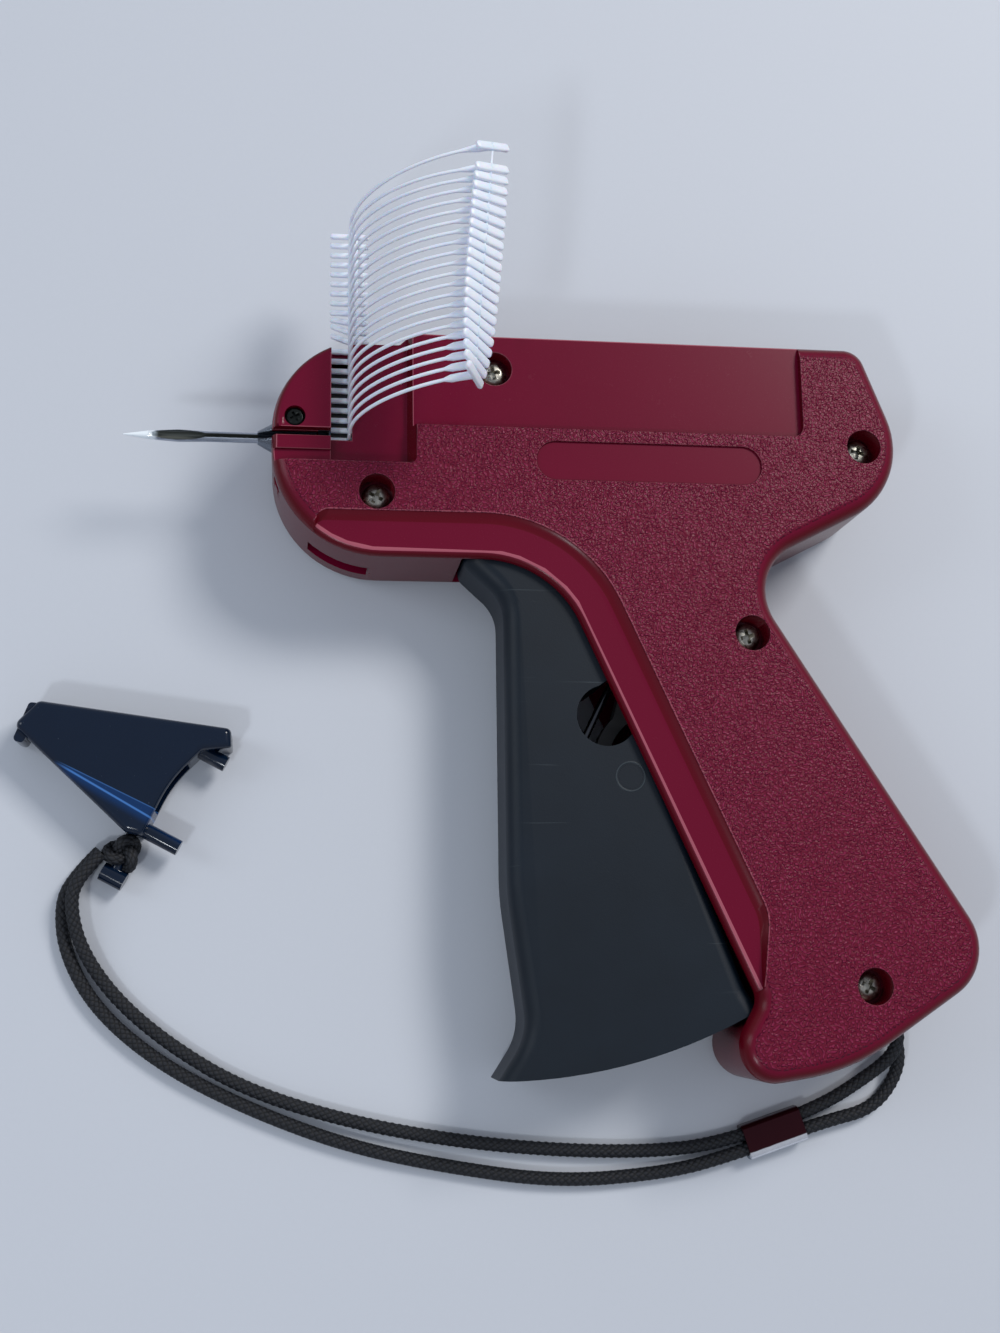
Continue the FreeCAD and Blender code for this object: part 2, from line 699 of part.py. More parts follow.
def post_slot():
    """Cut-out in both cheeks that the lever's post enters as the trigger is squeezed."""
    path_radius = V(0, 0, 0).distanceToPoint(PIVOT)
    half = size("lever_post_radius") + 2.0
    ring = upright(PIVOT, path_radius + half, 0, TOP).cut(upright(PIVOT, path_radius - half, 0, TOP))
    centre = turned(V(0, 0, 0), -SQUEEZE - math.radians(2.4), PIVOT)
    middle = turned(V(0, 0, 0), -SQUEEZE / 2, PIVOT)
    way = (middle - centre).normalize()
    across = turned(way, math.pi / 2)
    corners = [centre - across * 9, centre + across * 9, centre + way * 30 + across * 9,
               centre + way * 30 - across * 9]
    sector = prism([(p.x, p.y, 0) for p in corners], 0, TOP)
    return ring.common(sector).fuse(upright(centre, half + 0.3, 0, TOP))


# ---------------------------------------------------------------- drive lever
def cam_path():
    """Where the trigger's drive pin runs, in the lever's own frame, at a constant ratio."""
    ratio = SWING / SQUEEZE
    places = []
    for part in (0.0, 0.5, 1.0):
        angle = SQUEEZE * part
        places.append(turned(turned(DRIVE, angle, PIVOT), -angle * ratio))
    return places


def slotted(places, half, bottom, top):
    """A slot or bar of even width along an arc through three places, with round ends."""
    start, middle, end = places
    arc = Part.Arc(start, middle, end).toShape().Curve
    centre, radius = arc.Center, arc.Radius
    ring = upright(centre, radius + half, bottom, top)
    if radius > half:
        ring = ring.cut(upright(centre, radius - half, bottom, top))
    a, b = start - centre, end - centre
    bend = a.getAngle(b)
    spread = radius * 4
    bisector = (middle - centre).normalize()
    left = turned(bisector, bend / 2) * spread
    right = turned(bisector, -bend / 2) * spread
    tip = bisector * spread * 1.5
    wedge = prism([(centre.x + p.x, centre.y + p.y, 0) for p in (V(0, 0, 0), right, tip, left)], bottom, top)
    ends = [upright(p, half, bottom, top) for p in (start, end)]
    return ring.common(wedge).fuse(ends)


def drive_lever():
    low, high = MID - size("lever_thickness") / 2, MID + size("lever_thickness") / 2
    pin_gap = size("drive_pin_radius") + size("cam_play")
    fork_gap = size("link_pin_radius") + size("fork_play")
    arm = fork_gap + size("arm_wall")
    link = NEEDLE_Y / math.cos(SWING / 2)
    upper = prism([(-size("lever_hub_radius") + 0.8, 0, 0), (size("lever_hub_radius") - 0.8, 0, 0),
                   (arm, link - 16, 12.0), (arm, link + 4.2, 1.2), (-arm, link + 4.2, 1.2),
                   (-arm, link - 16, 12.0)], low, high)
    fork = fused([box(V(-fork_gap, NEEDLE_Y - 0.6, 0), V(fork_gap, link + 9, TOP)),
                  upright(V(0, NEEDLE_Y - 0.6, 0), fork_gap, 0, TOP)])
    window = prism([(-1.6, 12.0, 1.5), (1.6, 12.0, 1.5), (1.6, NEEDLE_Y - 8, 1.5), (-1.6, NEEDLE_Y - 8, 1.5)],
                   0, TOP)
    tilt = -math.degrees(SWING / 2)
    for shape in (upper, fork, window):
        shape.rotate(V(0, 0, 0), ALONG_Z, tilt)
    places = cam_path()
    lower = slotted(places, pin_gap + size("arm_wall"), low, high)
    hub = upright(V(0, 0, 0), size("lever_hub_radius"), low, high)
    root = places[2]
    side = turned(root, math.pi / 2).normalize() * (size("lever_hub_radius") - 0.6)
    neck = prism([(p.x, p.y, 0) for p in (side, side * -1, root - side, root + side)], low, high)
    lever = fused([hub, upper, lower, neck])
    bore = upright(V(0, 0, 0), size("lever_pin_radius") + size("run_clearance"), 0, TOP)
    slot = slotted(places, pin_gap, 0, TOP)
    return lever.cut(Part.makeCompound([bore, fork, window, slot]))


# ---------------------------------------------------------------- needle line
def needle():
    """Hollow steel needle, slotted on its upper side, with an oval mouth behind a solid point."""
    radius, tip = size("needle_radius"), size("needle_tip_length")
    point = size("nose_x") - size("needle_reach")
    mouth_front = point + tip
    mouth_back = mouth_front + size("needle_mouth_length")
    back = TBAR_TIP - 0.5
    tube = lengthwise(NEEDLE_Y, NEEDLE_Z, radius, mouth_back, back)
    swell = Part.makeCone(radius, radius * 1.2, size("needle_mouth_length") / 2, V(mouth_back, NEEDLE_Y, NEEDLE_Z),
                          V(-1, 0, 0))
    front = Part.makeCone(radius * 1.2, radius * 0.85, size("needle_mouth_length") / 2,
                          V(mouth_back - size("needle_mouth_length") / 2, NEEDLE_Y, NEEDLE_Z), V(-1, 0, 0))
    nib = Part.makeCone(radius * 0.85, 0.12, tip, V(mouth_front, NEEDLE_Y, NEEDLE_Z), V(-1, 0, 0))
    body = fused([tube, swell, front, nib])
    bore = lengthwise(NEEDLE_Y, NEEDLE_Z, size("needle_bore"), mouth_front + 0.6, back + 1)
    half = size("needle_slot") / 2
    slot = box(V(mouth_back - 3, NEEDLE_Y - half, NEEDLE_Z), V(back + 1, NEEDLE_Y + half, NEEDLE_Z + 3))
    oval = Part.makeSphere(1.0)
    matrix = FreeCAD.Matrix()
    matrix.scale(size("needle_mouth_length") / 2, radius * 1.02, radius * 1.5)
    oval = oval.transformGeometry(matrix)
    oval.translate(V((mouth_front + mouth_back) / 2, NEEDLE_Y, NEEDLE_Z + radius * 1.15))
    return body.cut(Part.makeCompound([bore, slot])).cut(oval)


def needle_hub():
    """Steel root that holds the needle in the nose, flared where it leaves the nose."""
    front = size("nose_x")
    radius = size("hub_radius")
    barrel = lengthwise(NEEDLE_Y, NEEDLE_Z, radius, front, front + size("hub_length"))
    flare = Part.makeCone(radius, size("needle_radius") + 0.25, size("hub_flare"), V(front, NEEDLE_Y, NEEDLE_Z),
                          V(-1, 0, 0))
    hub = barrel.fuse(flare)
    bore = lengthwise(NEEDLE_Y, NEEDLE_Z, size("needle_radius") + 0.02, -BEYOND * 2, BEYOND)
    half = size("filament_gap") / 2
    slot = box(V(-BEYOND * 2, NEEDLE_Y - half, NEEDLE_Z), V(BEYOND, NEEDLE_Y + half, BEYOND))
    return hub.cut(Part.makeCompound([bore, slot]))


def feed_guide():
    """Block behind the T-bar channel, standing on the far shell."""
    top = NEEDLE_Z - size("tbar_radius") - 0.14
    right = WHEEL.x - WHEEL_TIP - 0.3
    block = box(V(TBAR_TIP - 0.2, NEEDLE_Y - 4.6, FLOOR), V(right, size("feed_top") - size("side_wall") - 2.3, top))
    window = box(V(TBAR_TIP + 1.8, NEEDLE_Y + 1.4, FLOOR - 1), V(right - 1.8, NEEDLE_Y + 11.4, top - 3.0))
    return block.cut(window)


def blade_seat(play):
    """Small upright blade at the slot's upper edge, held down by the nose plate."""
    front = size("nose_x") + size("hub_length") + 0.3
    low = V(front - play, NEEDLE_Y + size("filament_gap") / 2 - play, NEEDLE_Z + 0.9 - play)
    return box(low, V(TBAR_TIP + 0.33 + play, low.y + 0.7 + 2 * play, NOSE_FLOOR + play * 2))


def push_rod():
    back = LINK_X + size("carriage_front") + 3.4
    return lengthwise(NEEDLE_Y, NEEDLE_Z, size("rod_radius"), ROD_TIP, back)


# ---------------------------------------------------------------- fasteners
# bars that the nose plate's edge has bent aside: degrees for each row
BENT_BARS = {10: 20.0, 11: 20.0, 12: 9.0}


def paddle_place(row):
    """Centre of a row's paddle; the outermost fastener stands a little apart from the rest."""
    last = row == size("fastener_count") - 1
    y = NEEDLE_Y + size("fastener_pitch") * row + size("filament_lean") + (size("last_lean") if last else 0)
    return V(size("paddle_x") + size("paddle_drift") * row, y, size("paddle_z"))


def fastener(row):
    """One nylon fastener: T-bar, filament that rises and bends over, thickened neck and paddle."""
    x, radius, neck_radius = size("tbar_x"), size("filament_radius"), size("neck_radius")
    foot = V(x, NEEDLE_Y + size("fastener_pitch") * row, NEEDLE_Z)
    rise = V(x, foot.y, TOP + 0.4)
    end = paddle_place(row)
    out = V(end.x - x, end.y - foot.y, 0)
    height = end.z - rise.z
    bend = (out.Length ** 2 + height ** 2) / (2 * out.Length)
    angle = math.atan2(height, bend - out.Length)
    out.normalize()
    middle = rise + out * (bend * (1 - math.cos(angle / 2))) + ALONG_Z * (bend * math.sin(angle / 2))
    arc = Part.Arc(rise, middle, end)
    spine = Part.Wire([Part.LineSegment(foot, rise).toShape(), arc.toShape()])
    filament = spine.makePipeShell([Part.Wire(Part.makeCircle(radius, foot, ALONG_Z))], True, False)
    neck_start = end - out * (size("neck_length") - size("neck_taper"))
    neck = Part.makeCylinder(neck_radius, size("neck_length") - size("neck_taper"), neck_start, out)
    taper = Part.makeCone(neck_radius, radius, size("neck_taper"), neck_start, out * -1)
    if row in BENT_BARS:
        front = lengthwise(foot.y, NEEDLE_Z, size("tbar_radius"), TBAR_TIP, x)
        front.rotate(foot, ALONG_Z, -BENT_BARS[row])
        bar = [front, lengthwise(foot.y, NEEDLE_Z, size("tbar_radius"), x - 0.3, TBAR_END)]
    else:
        bar = [lengthwise(foot.y, NEEDLE_Z, size("tbar_radius"), TBAR_TIP, TBAR_END)]
    half = V(size("paddle_thickness"), size("paddle_width"), size("paddle_length")) * 0.5
    paddle = box(half * -1, half)
    paddle.rotate(V(0, 0, 0), V(0, 1, 0), -size("paddle_tilt") - size("paddle_fan") * (
        1 - math.exp(-row / size("paddle_fan_rows"))))
    paddle.rotate(V(0, 0, 0), ALONG_Z, size("paddle_twist") * (row / (size("fastener_count") - 1)) ** 2
                  - size("paddle_turn"))
    paddle.translate(end)
    return bar + [filament, neck, taper, paddle]


def runner(first, last):
    """Thin web that joins neighbouring T-bars, and the thread that joins their paddles."""
    y0 = NEEDLE_Y + size("fastener_pitch") * first
    y1 = NEEDLE_Y + size("fastener_pitch") * last
    thin = 0.22
    low = box(V(size("tbar_x") + 1.2, y0, NEEDLE_Z - thin), V(size("tbar_x") + 1.7, y1, NEEDLE_Z + thin))
    start = paddle_place(first)
    thread = paddle_place(last) - start
    high = Part.makeCylinder(thin, thread.Length, start, thread)
    return [low, high]


def fastener_clip():
    count = int(size("fastener_count"))
    shapes = []
    for row in range(1, count):
        shapes += fastener(row)
    return fused(shapes + runner(1, count - 1))


def loaded_fastener():
    return fused(fastener(0))


# ---------------------------------------------------------------- needle cap and lanyard
CAP_PLAN = [(-129.3, -11.6, 1.6), (-107.0, -32.8, 2.5), (-103.6, -33.6, 1.0), (-98.4, -22.6, 26.0),
            (-92.2, -16.4, 1.5), (-86.4, -15.9, 0.6), (-86.6, -12.0, 1.2), (-124.6, -6.6, 1.6)]
CAP_WAY = V(math.cos(math.radians(-28)), math.sin(math.radians(-28)), 0)


def needle_cap():
    """Hollow guard that slides over the needle, lying flat on the table, mouth to the lower right."""
    high, wall = size("cap_height"), size("cap_wall")
    body = prism(CAP_PLAN, 0, high)
    body = body.makeFillet(1.4, flat_edges(body, high))
    across = turned(CAP_WAY, math.pi / 2)
    mouth_mid = V(-97.9, -24.2, 0)
    back = mouth_mid - CAP_WAY * 29.0
    hollow = prism([(p.x, p.y, 0.4) for p in (
        back - across * 1.6, mouth_mid + CAP_WAY * 9 - across * 7.0, mouth_mid + CAP_WAY * 9 + across * 7.0,
        back + across * 1.6)], wall, high - wall)
    end_block = prism([(-129.4, -14.6, 0.8), (-127.4, -15.2, 0.8), (-123.6, -7.2, 0.8), (-126.4, -6.9, 0.8)],
                      1.2, high - 1.2)
    rooted = 6.5
    pieces = [body, end_block]
    for side in (1, -1):
        root = mouth_mid + across * (side * size("prong_spacing") / 2) - CAP_WAY * rooted
        root.z = high / 2
        pieces.append(Part.makeCylinder(size("prong_radius"), size("prong_length") + rooted, root, CAP_WAY))
    pieces.append(cap_neck(1.2))
    pieces.append(Part.makeCylinder(1.9, 5.0, LUG - CAP_WAY * 2.5, CAP_WAY))
    return fused(pieces).cut(hollow)


LUG = V(-109.5, -41.2, 2.6)


def cap_neck(radius):
    """Short neck from the cap's corner to the cross lug that the lanyard is tied round."""
    root = V(-105.4, -31.2, 2.6)
    return Part.makeCylinder(radius, (LUG - root).Length, root, LUG - root)


# Routes of the two cords, from the grip to the knot, as points chosen by hand.
CORD_LEVEL = size("cord_radius")
FERRULE_LEVEL = size("cord_radius") + size("ferrule_wall") + 0.1
INNER_ROUTE = [
    (48.2, -66.5, CORD_EXIT_HIGH), (50.6, -73.6, CORD_EXIT_HIGH), (49.9, -78.6, 6.2), (45.4, -82.8, 3.4),
    (34.53, -89.31, FERRULE_LEVEL), (13.51, -95.8, FERRULE_LEVEL), (0.0, -97.2, CORD_LEVEL),
    (-20.0, -96.5, CORD_LEVEL), (-42.0, -94.0, CORD_LEVEL), (-64.3, -89.4, CORD_LEVEL),
    (-83.6, -82.9, CORD_LEVEL), (-97.8, -74.3, CORD_LEVEL), (-108.4, -65.4, CORD_LEVEL),
    (-115.4, -55.6, 2.6), (-117.6, -46.6, 4.4), (-116.2, -41.4, 4.7), (-111.8, -36.7, 4.3),
]
OUTER_ROUTE = [
    (48.2, -66.5, CORD_EXIT_LOW), (51.4, -75.4, 4.9), (52.2, -82.4, 2.2), (46.4, -89.9, 1.5),
    (35.39, -92.1, FERRULE_LEVEL), (14.37, -98.59, FERRULE_LEVEL), (2.0, -101.4, CORD_LEVEL),
    (-20.0, -102.6, CORD_LEVEL), (-43.0, -99.0, CORD_LEVEL), (-63.4, -94.3, CORD_LEVEL),
    (-83.5, -86.4, CORD_LEVEL), (-99.6, -77.9, CORD_LEVEL), (-111.9, -67.6, CORD_LEVEL),
    (-118.3, -56.9, CORD_LEVEL), (-119.8, -47.2, CORD_LEVEL), (-117.6, -41.4, CORD_LEVEL), (-112.4, -36.1, 1.6),
]
FERRULE_CENTRE = V(24.45, -93.95, FERRULE_LEVEL)
FERRULE_WAY = V(15.2, 4.7, 0).normalize()


def cord_path(route):
    """Straight runs joined by tangent arcs, each as large as its two runs allow."""
    points = [V(*p) for p in route]
    edges, radii = [], []
    last = points[0]
    for before, here, after in zip(points, points[1:], points[2:]):
        back, ahead = before - here, after - here
        run = 0.45 * min(back.Length, ahead.Length)
        back.normalize()
        ahead.normalize()
        half = back.getAngle(ahead) / 2
        radius = run * math.tan(half)
        inward = (back + ahead).normalize()
        start, end = here + back * run, here + ahead * run
        middle = here + inward * (radius / math.sin(half) - radius)
        edges.append(Part.LineSegment(last, start).toShape())
        edges.append(Part.Arc(start, middle, end).toShape())
        radii.append(radius)
        last = end
    edges.append(Part.LineSegment(last, points[-1]).toShape())
    return Part.Wire(edges), radii


def cord(label, route):
    path, radii = cord_path(route)
    start, way = V(*route[0]), V(*route[1]) - V(*route[0])
    section = Part.Wire(Part.makeCircle(size("cord_radius"), start, way))
    tube = path.makePipeShell([section], True, False)
    wanted = math.pi * size("cord_radius") ** 2 * path.Length
    print("%s length %.1f mm, smallest bend %.1f mm, volume %.4f of section times length"
          % (label, path.Length, min(radii), tube.Volume / wanted))
    print("  bends:", " ".join("%.1f" % r for r in radii))
    return tube


def ferrule():
    """Crimped metal sleeve round both cords."""
    wall, cord_r = size("ferrule_wall"), size("cord_radius")
    half_wide, half_high = 2 * cord_r + 0.12, cord_r + 0.08
    along = size("ferrule_length") / 2
    outer = Part.makeBox(2 * along, 2 * (half_wide + wall), 2 * (half_high + wall),
                         V(-along, -half_wide - wall, -half_high - wall))
    outer = outer.makeFillet(1.2, [e for e in outer.Edges if e.BoundBox.XLength > along])
    inner = Part.makeBox(4 * along, 2 * half_wide, 2 * half_high, V(-2 * along, -half_wide, -half_high))
    inner = inner.makeFillet(half_high - 0.02, [e for e in inner.Edges if e.BoundBox.XLength > along])
    return outer.cut(inner)


def lanyard_knot():
    """Three bunched turns that tie both cords round the neck of the cap's lug."""
    turns = [(-109.2, -35.0, 3.0, 2.9), (-107.7, -36.5, 3.3, 3.1), (-106.2, -38.0, 3.0, 2.9)]
    knot = fused([Part.makeSphere(radius, V(x, y, z)) for x, y, z, radius in turns])
    lug = Part.makeCylinder(1.9 + 0.1, 8.0, LUG - CAP_WAY * 4.0, CAP_WAY)
    return knot.cut(cap_neck(1.2 + 0.04)).cut(lug)


# ---------------------------------------------------------------- pieces made of plain solids
pin("trigger_pivot_pin", "Sizes.trigger_pivot_x", "Sizes.trigger_pivot_y",
    "Sizes.face_step + Sizes.skin - 0.75", "Sizes.trigger_pin_radius",
    "Sizes.body_thickness - 2 * (Sizes.face_step + Sizes.skin) + 1.5")
pin("lever_pivot_pin", "0 mm", "0 mm", "Sizes.face_step + Sizes.skin - 0.75", "Sizes.lever_pin_radius",
    "Sizes.body_thickness - 2 * (Sizes.face_step + Sizes.skin) + 1.5")
pin("drive_pin", "Sizes.drive_pin_x", "Sizes.drive_pin_y",
    CHEEK_FOOT, "Sizes.drive_pin_radius", "Sizes.body_thickness - 2 * (%s)" % CHEEK_FOOT)
LINK_PLACE = "Sizes.needle_y * tan(Sizes.lever_swing * 0.5 deg)"
pin("link_pin", LINK_PLACE, "Sizes.needle_y", CARRIAGE_FOOT,
    "Sizes.link_pin_radius", CARRIAGE_WIDTH)
feed_axle = pin("feed_axle", "0 mm", "0 mm", "Sizes.face_step + Sizes.skin", "Sizes.wheel_axle_radius",
                "Sizes.body_thickness - Sizes.needle_depth + 0.6 - Sizes.face_step - Sizes.skin")
feed_axle.setExpression("Placement.Base.x", "%.6f mm" % WHEEL.x)
feed_axle.setExpression("Placement.Base.y", "%.6f mm" % WHEEL.y)
lanyard_post = pin("lanyard_post", "%.3f mm" % LANYARD.x, "%.3f mm" % LANYARD.y,
                   "Sizes.face_step + Sizes.skin - 0.75", "Sizes.lanyard_post_radius",
                   "Sizes.body_thickness - 2 * (Sizes.face_step + Sizes.skin) + 1.5")


# ---------------------------------------------------------------- housing screws
def cross(sketch, centre, arm, half):
    """Outline of a cross recess."""
    steps = [(-half, -arm), (half, -arm), (half, -half), (arm, -half), (arm, half), (half, half),
             (half, arm), (-half, arm), (-half, half), (-arm, half), (-arm, -half), (-half, -half)]
    first = sketch.GeometryCount
    places = [turned(V(x, y, 0), math.radians(28)) + centre for x, y in steps]
    for i, place in enumerate(places):
        sketch.addGeometry(Part.LineSegment(place, places[(i + 1) % len(places)]))
    for i in range(len(places)):
        sketch.addConstraint(Sketcher.Constraint("Coincident", first + i, 2, first + (i + 1) % len(places), 1))


housing_screws = new_body("housing_screws")
if hasattr(housing_screws, "AllowCompound"):
    housing_screws.AllowCompound = True
shanks = new_sketch(housing_screws, "Shanks", offset="Sizes.body_thickness - Sizes.bore_depth - Sizes.screw_length")
heads = new_sketch(housing_screws, "Heads", offset="Sizes.body_thickness - Sizes.bore_depth")
for place in SCREWS:
    circle(shanks, place.x, place.y, "Sizes.screw_radius")
    circle(heads, place.x, place.y, "Sizes.screw_head_radius")
padded(housing_screws, shanks, "Sizes.screw_length", "ShankPad")
padded(housing_screws, heads, "Sizes.screw_head_height", "HeadPad")
recesses = new_sketch(housing_screws, "Recesses",
                      offset="Sizes.body_thickness - Sizes.bore_depth + Sizes.screw_head_height")
for place in SCREWS:
    cross(recesses, place, size("screw_head_radius") * 0.62, 0.42)
pocketed(housing_screws, recesses, "Sizes.screw_head_height * 0.6", "Drive")

# ---------------------------------------------------------------- nose plate and its screw
NOSE_CENTRE = V(size("nose_x") + size("nose_round"), size("feed_top") - size("nose_round"), 0)
NOSE_RADIUS = size("nose_round") - 0.4


def nose_plate():
    body = new_body("nose_plate")
    sketch = new_sketch(body, "Plan", offset="Sizes.body_thickness - Sizes.nose_plate_height")
    low = NEEDLE_Y + size("filament_gap") / 2 + 0.05
    right = TBAR_TIP + 0.3
    left = V(NOSE_CENTRE.x - math.sqrt(NOSE_RADIUS ** 2 - (low - NOSE_CENTRE.y) ** 2), low, 0)
    corner = V(right, low, 0)
    upper = V(right, NOSE_CENTRE.y + math.sqrt(NOSE_RADIUS ** 2 - (right - NOSE_CENTRE.x) ** 2), 0)
    middle = NOSE_CENTRE + (left + upper - NOSE_CENTRE * 2).normalize() * NOSE_RADIUS
    sketch.addGeometry(Part.LineSegment(left, corner))
    sketch.addGeometry(Part.LineSegment(corner, upper))
    sketch.addGeometry(Part.Arc(upper, middle, left))
    for here, there in ((0, 1), (1, 2), (2, 0)):
        sketch.addConstraint(Sketcher.Constraint("Coincident", here, 2, there, 1))
    sketch.addConstraint(Sketcher.Constraint("Horizontal", 0))
    sketch.addConstraint(Sketcher.Constraint("Vertical", 1))
    pad = padded(body, sketch, "Sizes.nose_plate_height - 0.02")
    doc.recompute()
    rim = body.newObject("PartDesign::Fillet", "RoundedRim")
    edges = ["Edge%d" % (i + 1) for i, e in enumerate(pad.Shape.Edges)
             if e.BoundBox.ZMin > TOP - 0.1 and e.Curve.TypeId == "Part::GeomCircle"]
    rim.Base = (pad, edges)
    rim.Radius = 1.5
    hole = new_sketch(body, "ScrewHole", offset="Sizes.body_thickness")
    circle(hole, NOSE_SCREW.x, NOSE_SCREW.y, 2.1)
    pocketed(body, hole, "Sizes.nose_plate_height * 0.8", "ScrewSeat")
    shank = new_sketch(body, "ShankHole", offset="Sizes.body_thickness")
    circle(shank, NOSE_SCREW.x, NOSE_SCREW.y, 1.05)
    pocketed(body, shank, "Sizes.nose_plate_height + 1", "ShankHolePocket")
    return body


def nose_screw():
    """Small black screw sunk in the nose plate."""
    body = new_body("nose_screw")
    seat = size("nose_plate_height") * 0.2
    sketch = new_sketch(body, "Profile", role="XZ_Plane")
    polygon(sketch, [(0, -0.9), (1.0, -0.9), (1.0, seat), (1.95, seat), (1.95, seat + 0.7), (1.35, seat + 1.15),
                     (0, seat + 1.15)])
    revolved(body, sketch, "V_Axis")
    drive = new_sketch(body, "Drive")
    drive.AttachmentOffset = FreeCAD.Placement(V(0, 0, seat + 1.15), FreeCAD.Rotation())
    cross(drive, V(0, 0, 0), 1.05, 0.26)
    pocketed(body, drive, "0.7 mm", "DriveRecess")
    body.Placement = FreeCAD.Placement(V(NOSE_SCREW.x, NOSE_SCREW.y, NOSE_FLOOR), FreeCAD.Rotation())
    return body


nose_plate()
nose_screw()


# ---------------------------------------------------------------- feed wheel and ram carriage
def feed_wheel():
    """Thin star wheel whose teeth stand in the gaps between the T-bars."""
    body = new_body("feed_wheel")
    disc = new_sketch(body, "Disc")
    circle(disc, 0, 0, WHEEL_ROOT)
    padded(body, disc, "Sizes.wheel_thickness")
    tooth = new_sketch(body, "Tooth")
    polygon(tooth, [(-WHEEL_TIP, -0.14), (-WHEEL_ROOT + 0.5, -0.3), (-WHEEL_ROOT + 0.5, 0.3), (-WHEEL_TIP, 0.14)])
    pad = padded(body, tooth, "Sizes.wheel_thickness", "ToothPad")
    doc.recompute()
    ring = body.newObject("PartDesign::PolarPattern", "Teeth")
    ring.Originals = [pad]
    ring.Axis = (disc, ["N_Axis"])
    ring.Angle = 360.0
    ring.Occurrences = int(size("wheel_teeth"))
    body.Tip = ring
    doc.recompute()
    bore = new_sketch(body, "Bore")
    circle(bore, 0, 0, "Sizes.wheel_axle_radius + Sizes.run_clearance")
    pocketed(body, bore, "Sizes.wheel_thickness", "BorePocket", reverse=True)
    body.Placement = FreeCAD.Placement(V(WHEEL.x, WHEEL.y, WHEEL_LOW), FreeCAD.Rotation())
    return body


def ram_carriage():
    """Slider that the lever's fork drives; the push rod is fixed in its front."""
    body = new_body("ram_carriage")
    plan = new_sketch(body, "Plan", offset=CARRIAGE_FOOT)
    half = "Sizes.carriage_height / 2"
    polygon(plan, [("Sizes.carriage_front", "-" + half), ("Sizes.carriage_back", "-" + half),
                   ("Sizes.carriage_back", half), ("Sizes.carriage_front", half)])
    padded(body, plan, CARRIAGE_WIDTH)
    slot = new_sketch(body, "LeverSlot", offset="(Sizes.body_thickness - Sizes.lever_thickness) / 2 - 0.4")
    polygon(slot, [("Sizes.carriage_front + 3.2", "-10"), ("Sizes.carriage_back - 3.2", "-10"),
                   ("Sizes.carriage_back - 3.2", "10"), ("Sizes.carriage_front + 3.2", "10")])
    pocketed(body, slot, "Sizes.lever_thickness + 0.8", "LeverSlotPocket", reverse=True)
    hole = new_sketch(body, "LinkHole")
    circle(hole, 0, 0, "Sizes.link_pin_radius + 0.02")
    pocketed(body, hole, "Sizes.body_thickness", "LinkHolePocket", reverse=True)
    rod = new_sketch(body, "RodHole", role="YZ_Plane", offset="Sizes.carriage_front")
    circle(rod, 0, "Sizes.body_thickness - Sizes.needle_depth", "Sizes.rod_radius + 0.02")
    pocketed(body, rod, "3.5 mm", "RodHolePocket", reverse=True)
    body.Placement = FreeCAD.Placement(V(LINK_X, NEEDLE_Y, 0), FreeCAD.Rotation())
    return body


feed_wheel()
ram_carriage()

# ---------------------------------------------------------------- pieces made of worked solids
feature("near_shell", near_shell())
feature("far_shell", far_shell())
feature("trigger", trigger())
feature("drive_lever", drive_lever())
feature("return_spring", return_spring())
feature("needle", needle())
feature("needle_hub", needle_hub())
feature("feed_guide", feed_guide())
feature("cutter_blade", blade_seat(0.0))
feature("push_rod", push_rod())
feature("pawl_spring", box(V(WHEEL.x + WHEEL_TIP + 0.25, WHEEL.y - 3.0, WHEEL_LOW),
                           V(WHEEL.x + WHEEL_TIP + 0.6, WHEEL.y + 8.0, FEED_FLOOR - 1.4)))
feature("fastener_clip", fastener_clip())
feature("loaded_fastener", loaded_fastener())
feature("needle_cap", needle_cap())
feature("lanyard_inner", cord("lanyard_inner", INNER_ROUTE))
feature("lanyard_outer", cord("lanyard_outer", OUTER_ROUTE))
feature("ferrule", ferrule(),
        FreeCAD.Placement(FERRULE_CENTRE, FreeCAD.Rotation(ALONG_X, FERRULE_WAY)))
feature("lanyard_knot", lanyard_knot())

NODES = [
    "near_shell", "far_shell", "nose_plate", "nose_screw", "housing_screws", "needle", "needle_hub",
    "cutter_blade", "feed_guide", "feed_axle", "feed_wheel", "pawl_spring", "trigger", "drive_pin",
    "trigger_pivot_pin", "drive_lever", "lever_pivot_pin", "return_spring", "ram_carriage", "link_pin",
    "push_rod", "fastener_clip", "loaded_fastener", "needle_cap", "lanyard_post", "lanyard_inner",
    "lanyard_outer", "ferrule", "lanyard_knot",
]

# ---------------------------------------------------------------- check and write
doc.recompute()
for item in doc.Objects:
    if "Invalid" in item.State or "Error" in item.State:
        raise RuntimeError("%s failed: %s" % (item.Label, item.State))

os.makedirs("parts", exist_ok=True)
shapes = {}
for name in NODES:
    item = doc.getObject(name)
    shape = item.Shape
    if shape.isNull() or not shape.isValid() or not shape.Solids:
        raise RuntimeError(name + " has no valid solid")
    shapes[name] = shape
for name, shape in shapes.items():
    shape.exportStep("parts/%s.step" % name)
    span = shape.optimalBoundingBox(False)
    print("%-18s solids %2d  volume %9.1f  x %.1f %.1f  y %.1f %.1f  z %.1f %.1f" % (
        name, len(shape.Solids), shape.Volume, span.XMin, span.XMax, span.YMin, span.YMax, span.ZMin, span.ZMax))
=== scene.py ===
import json
import math
import bpy
import bmesh
from mathutils import Matrix, Vector


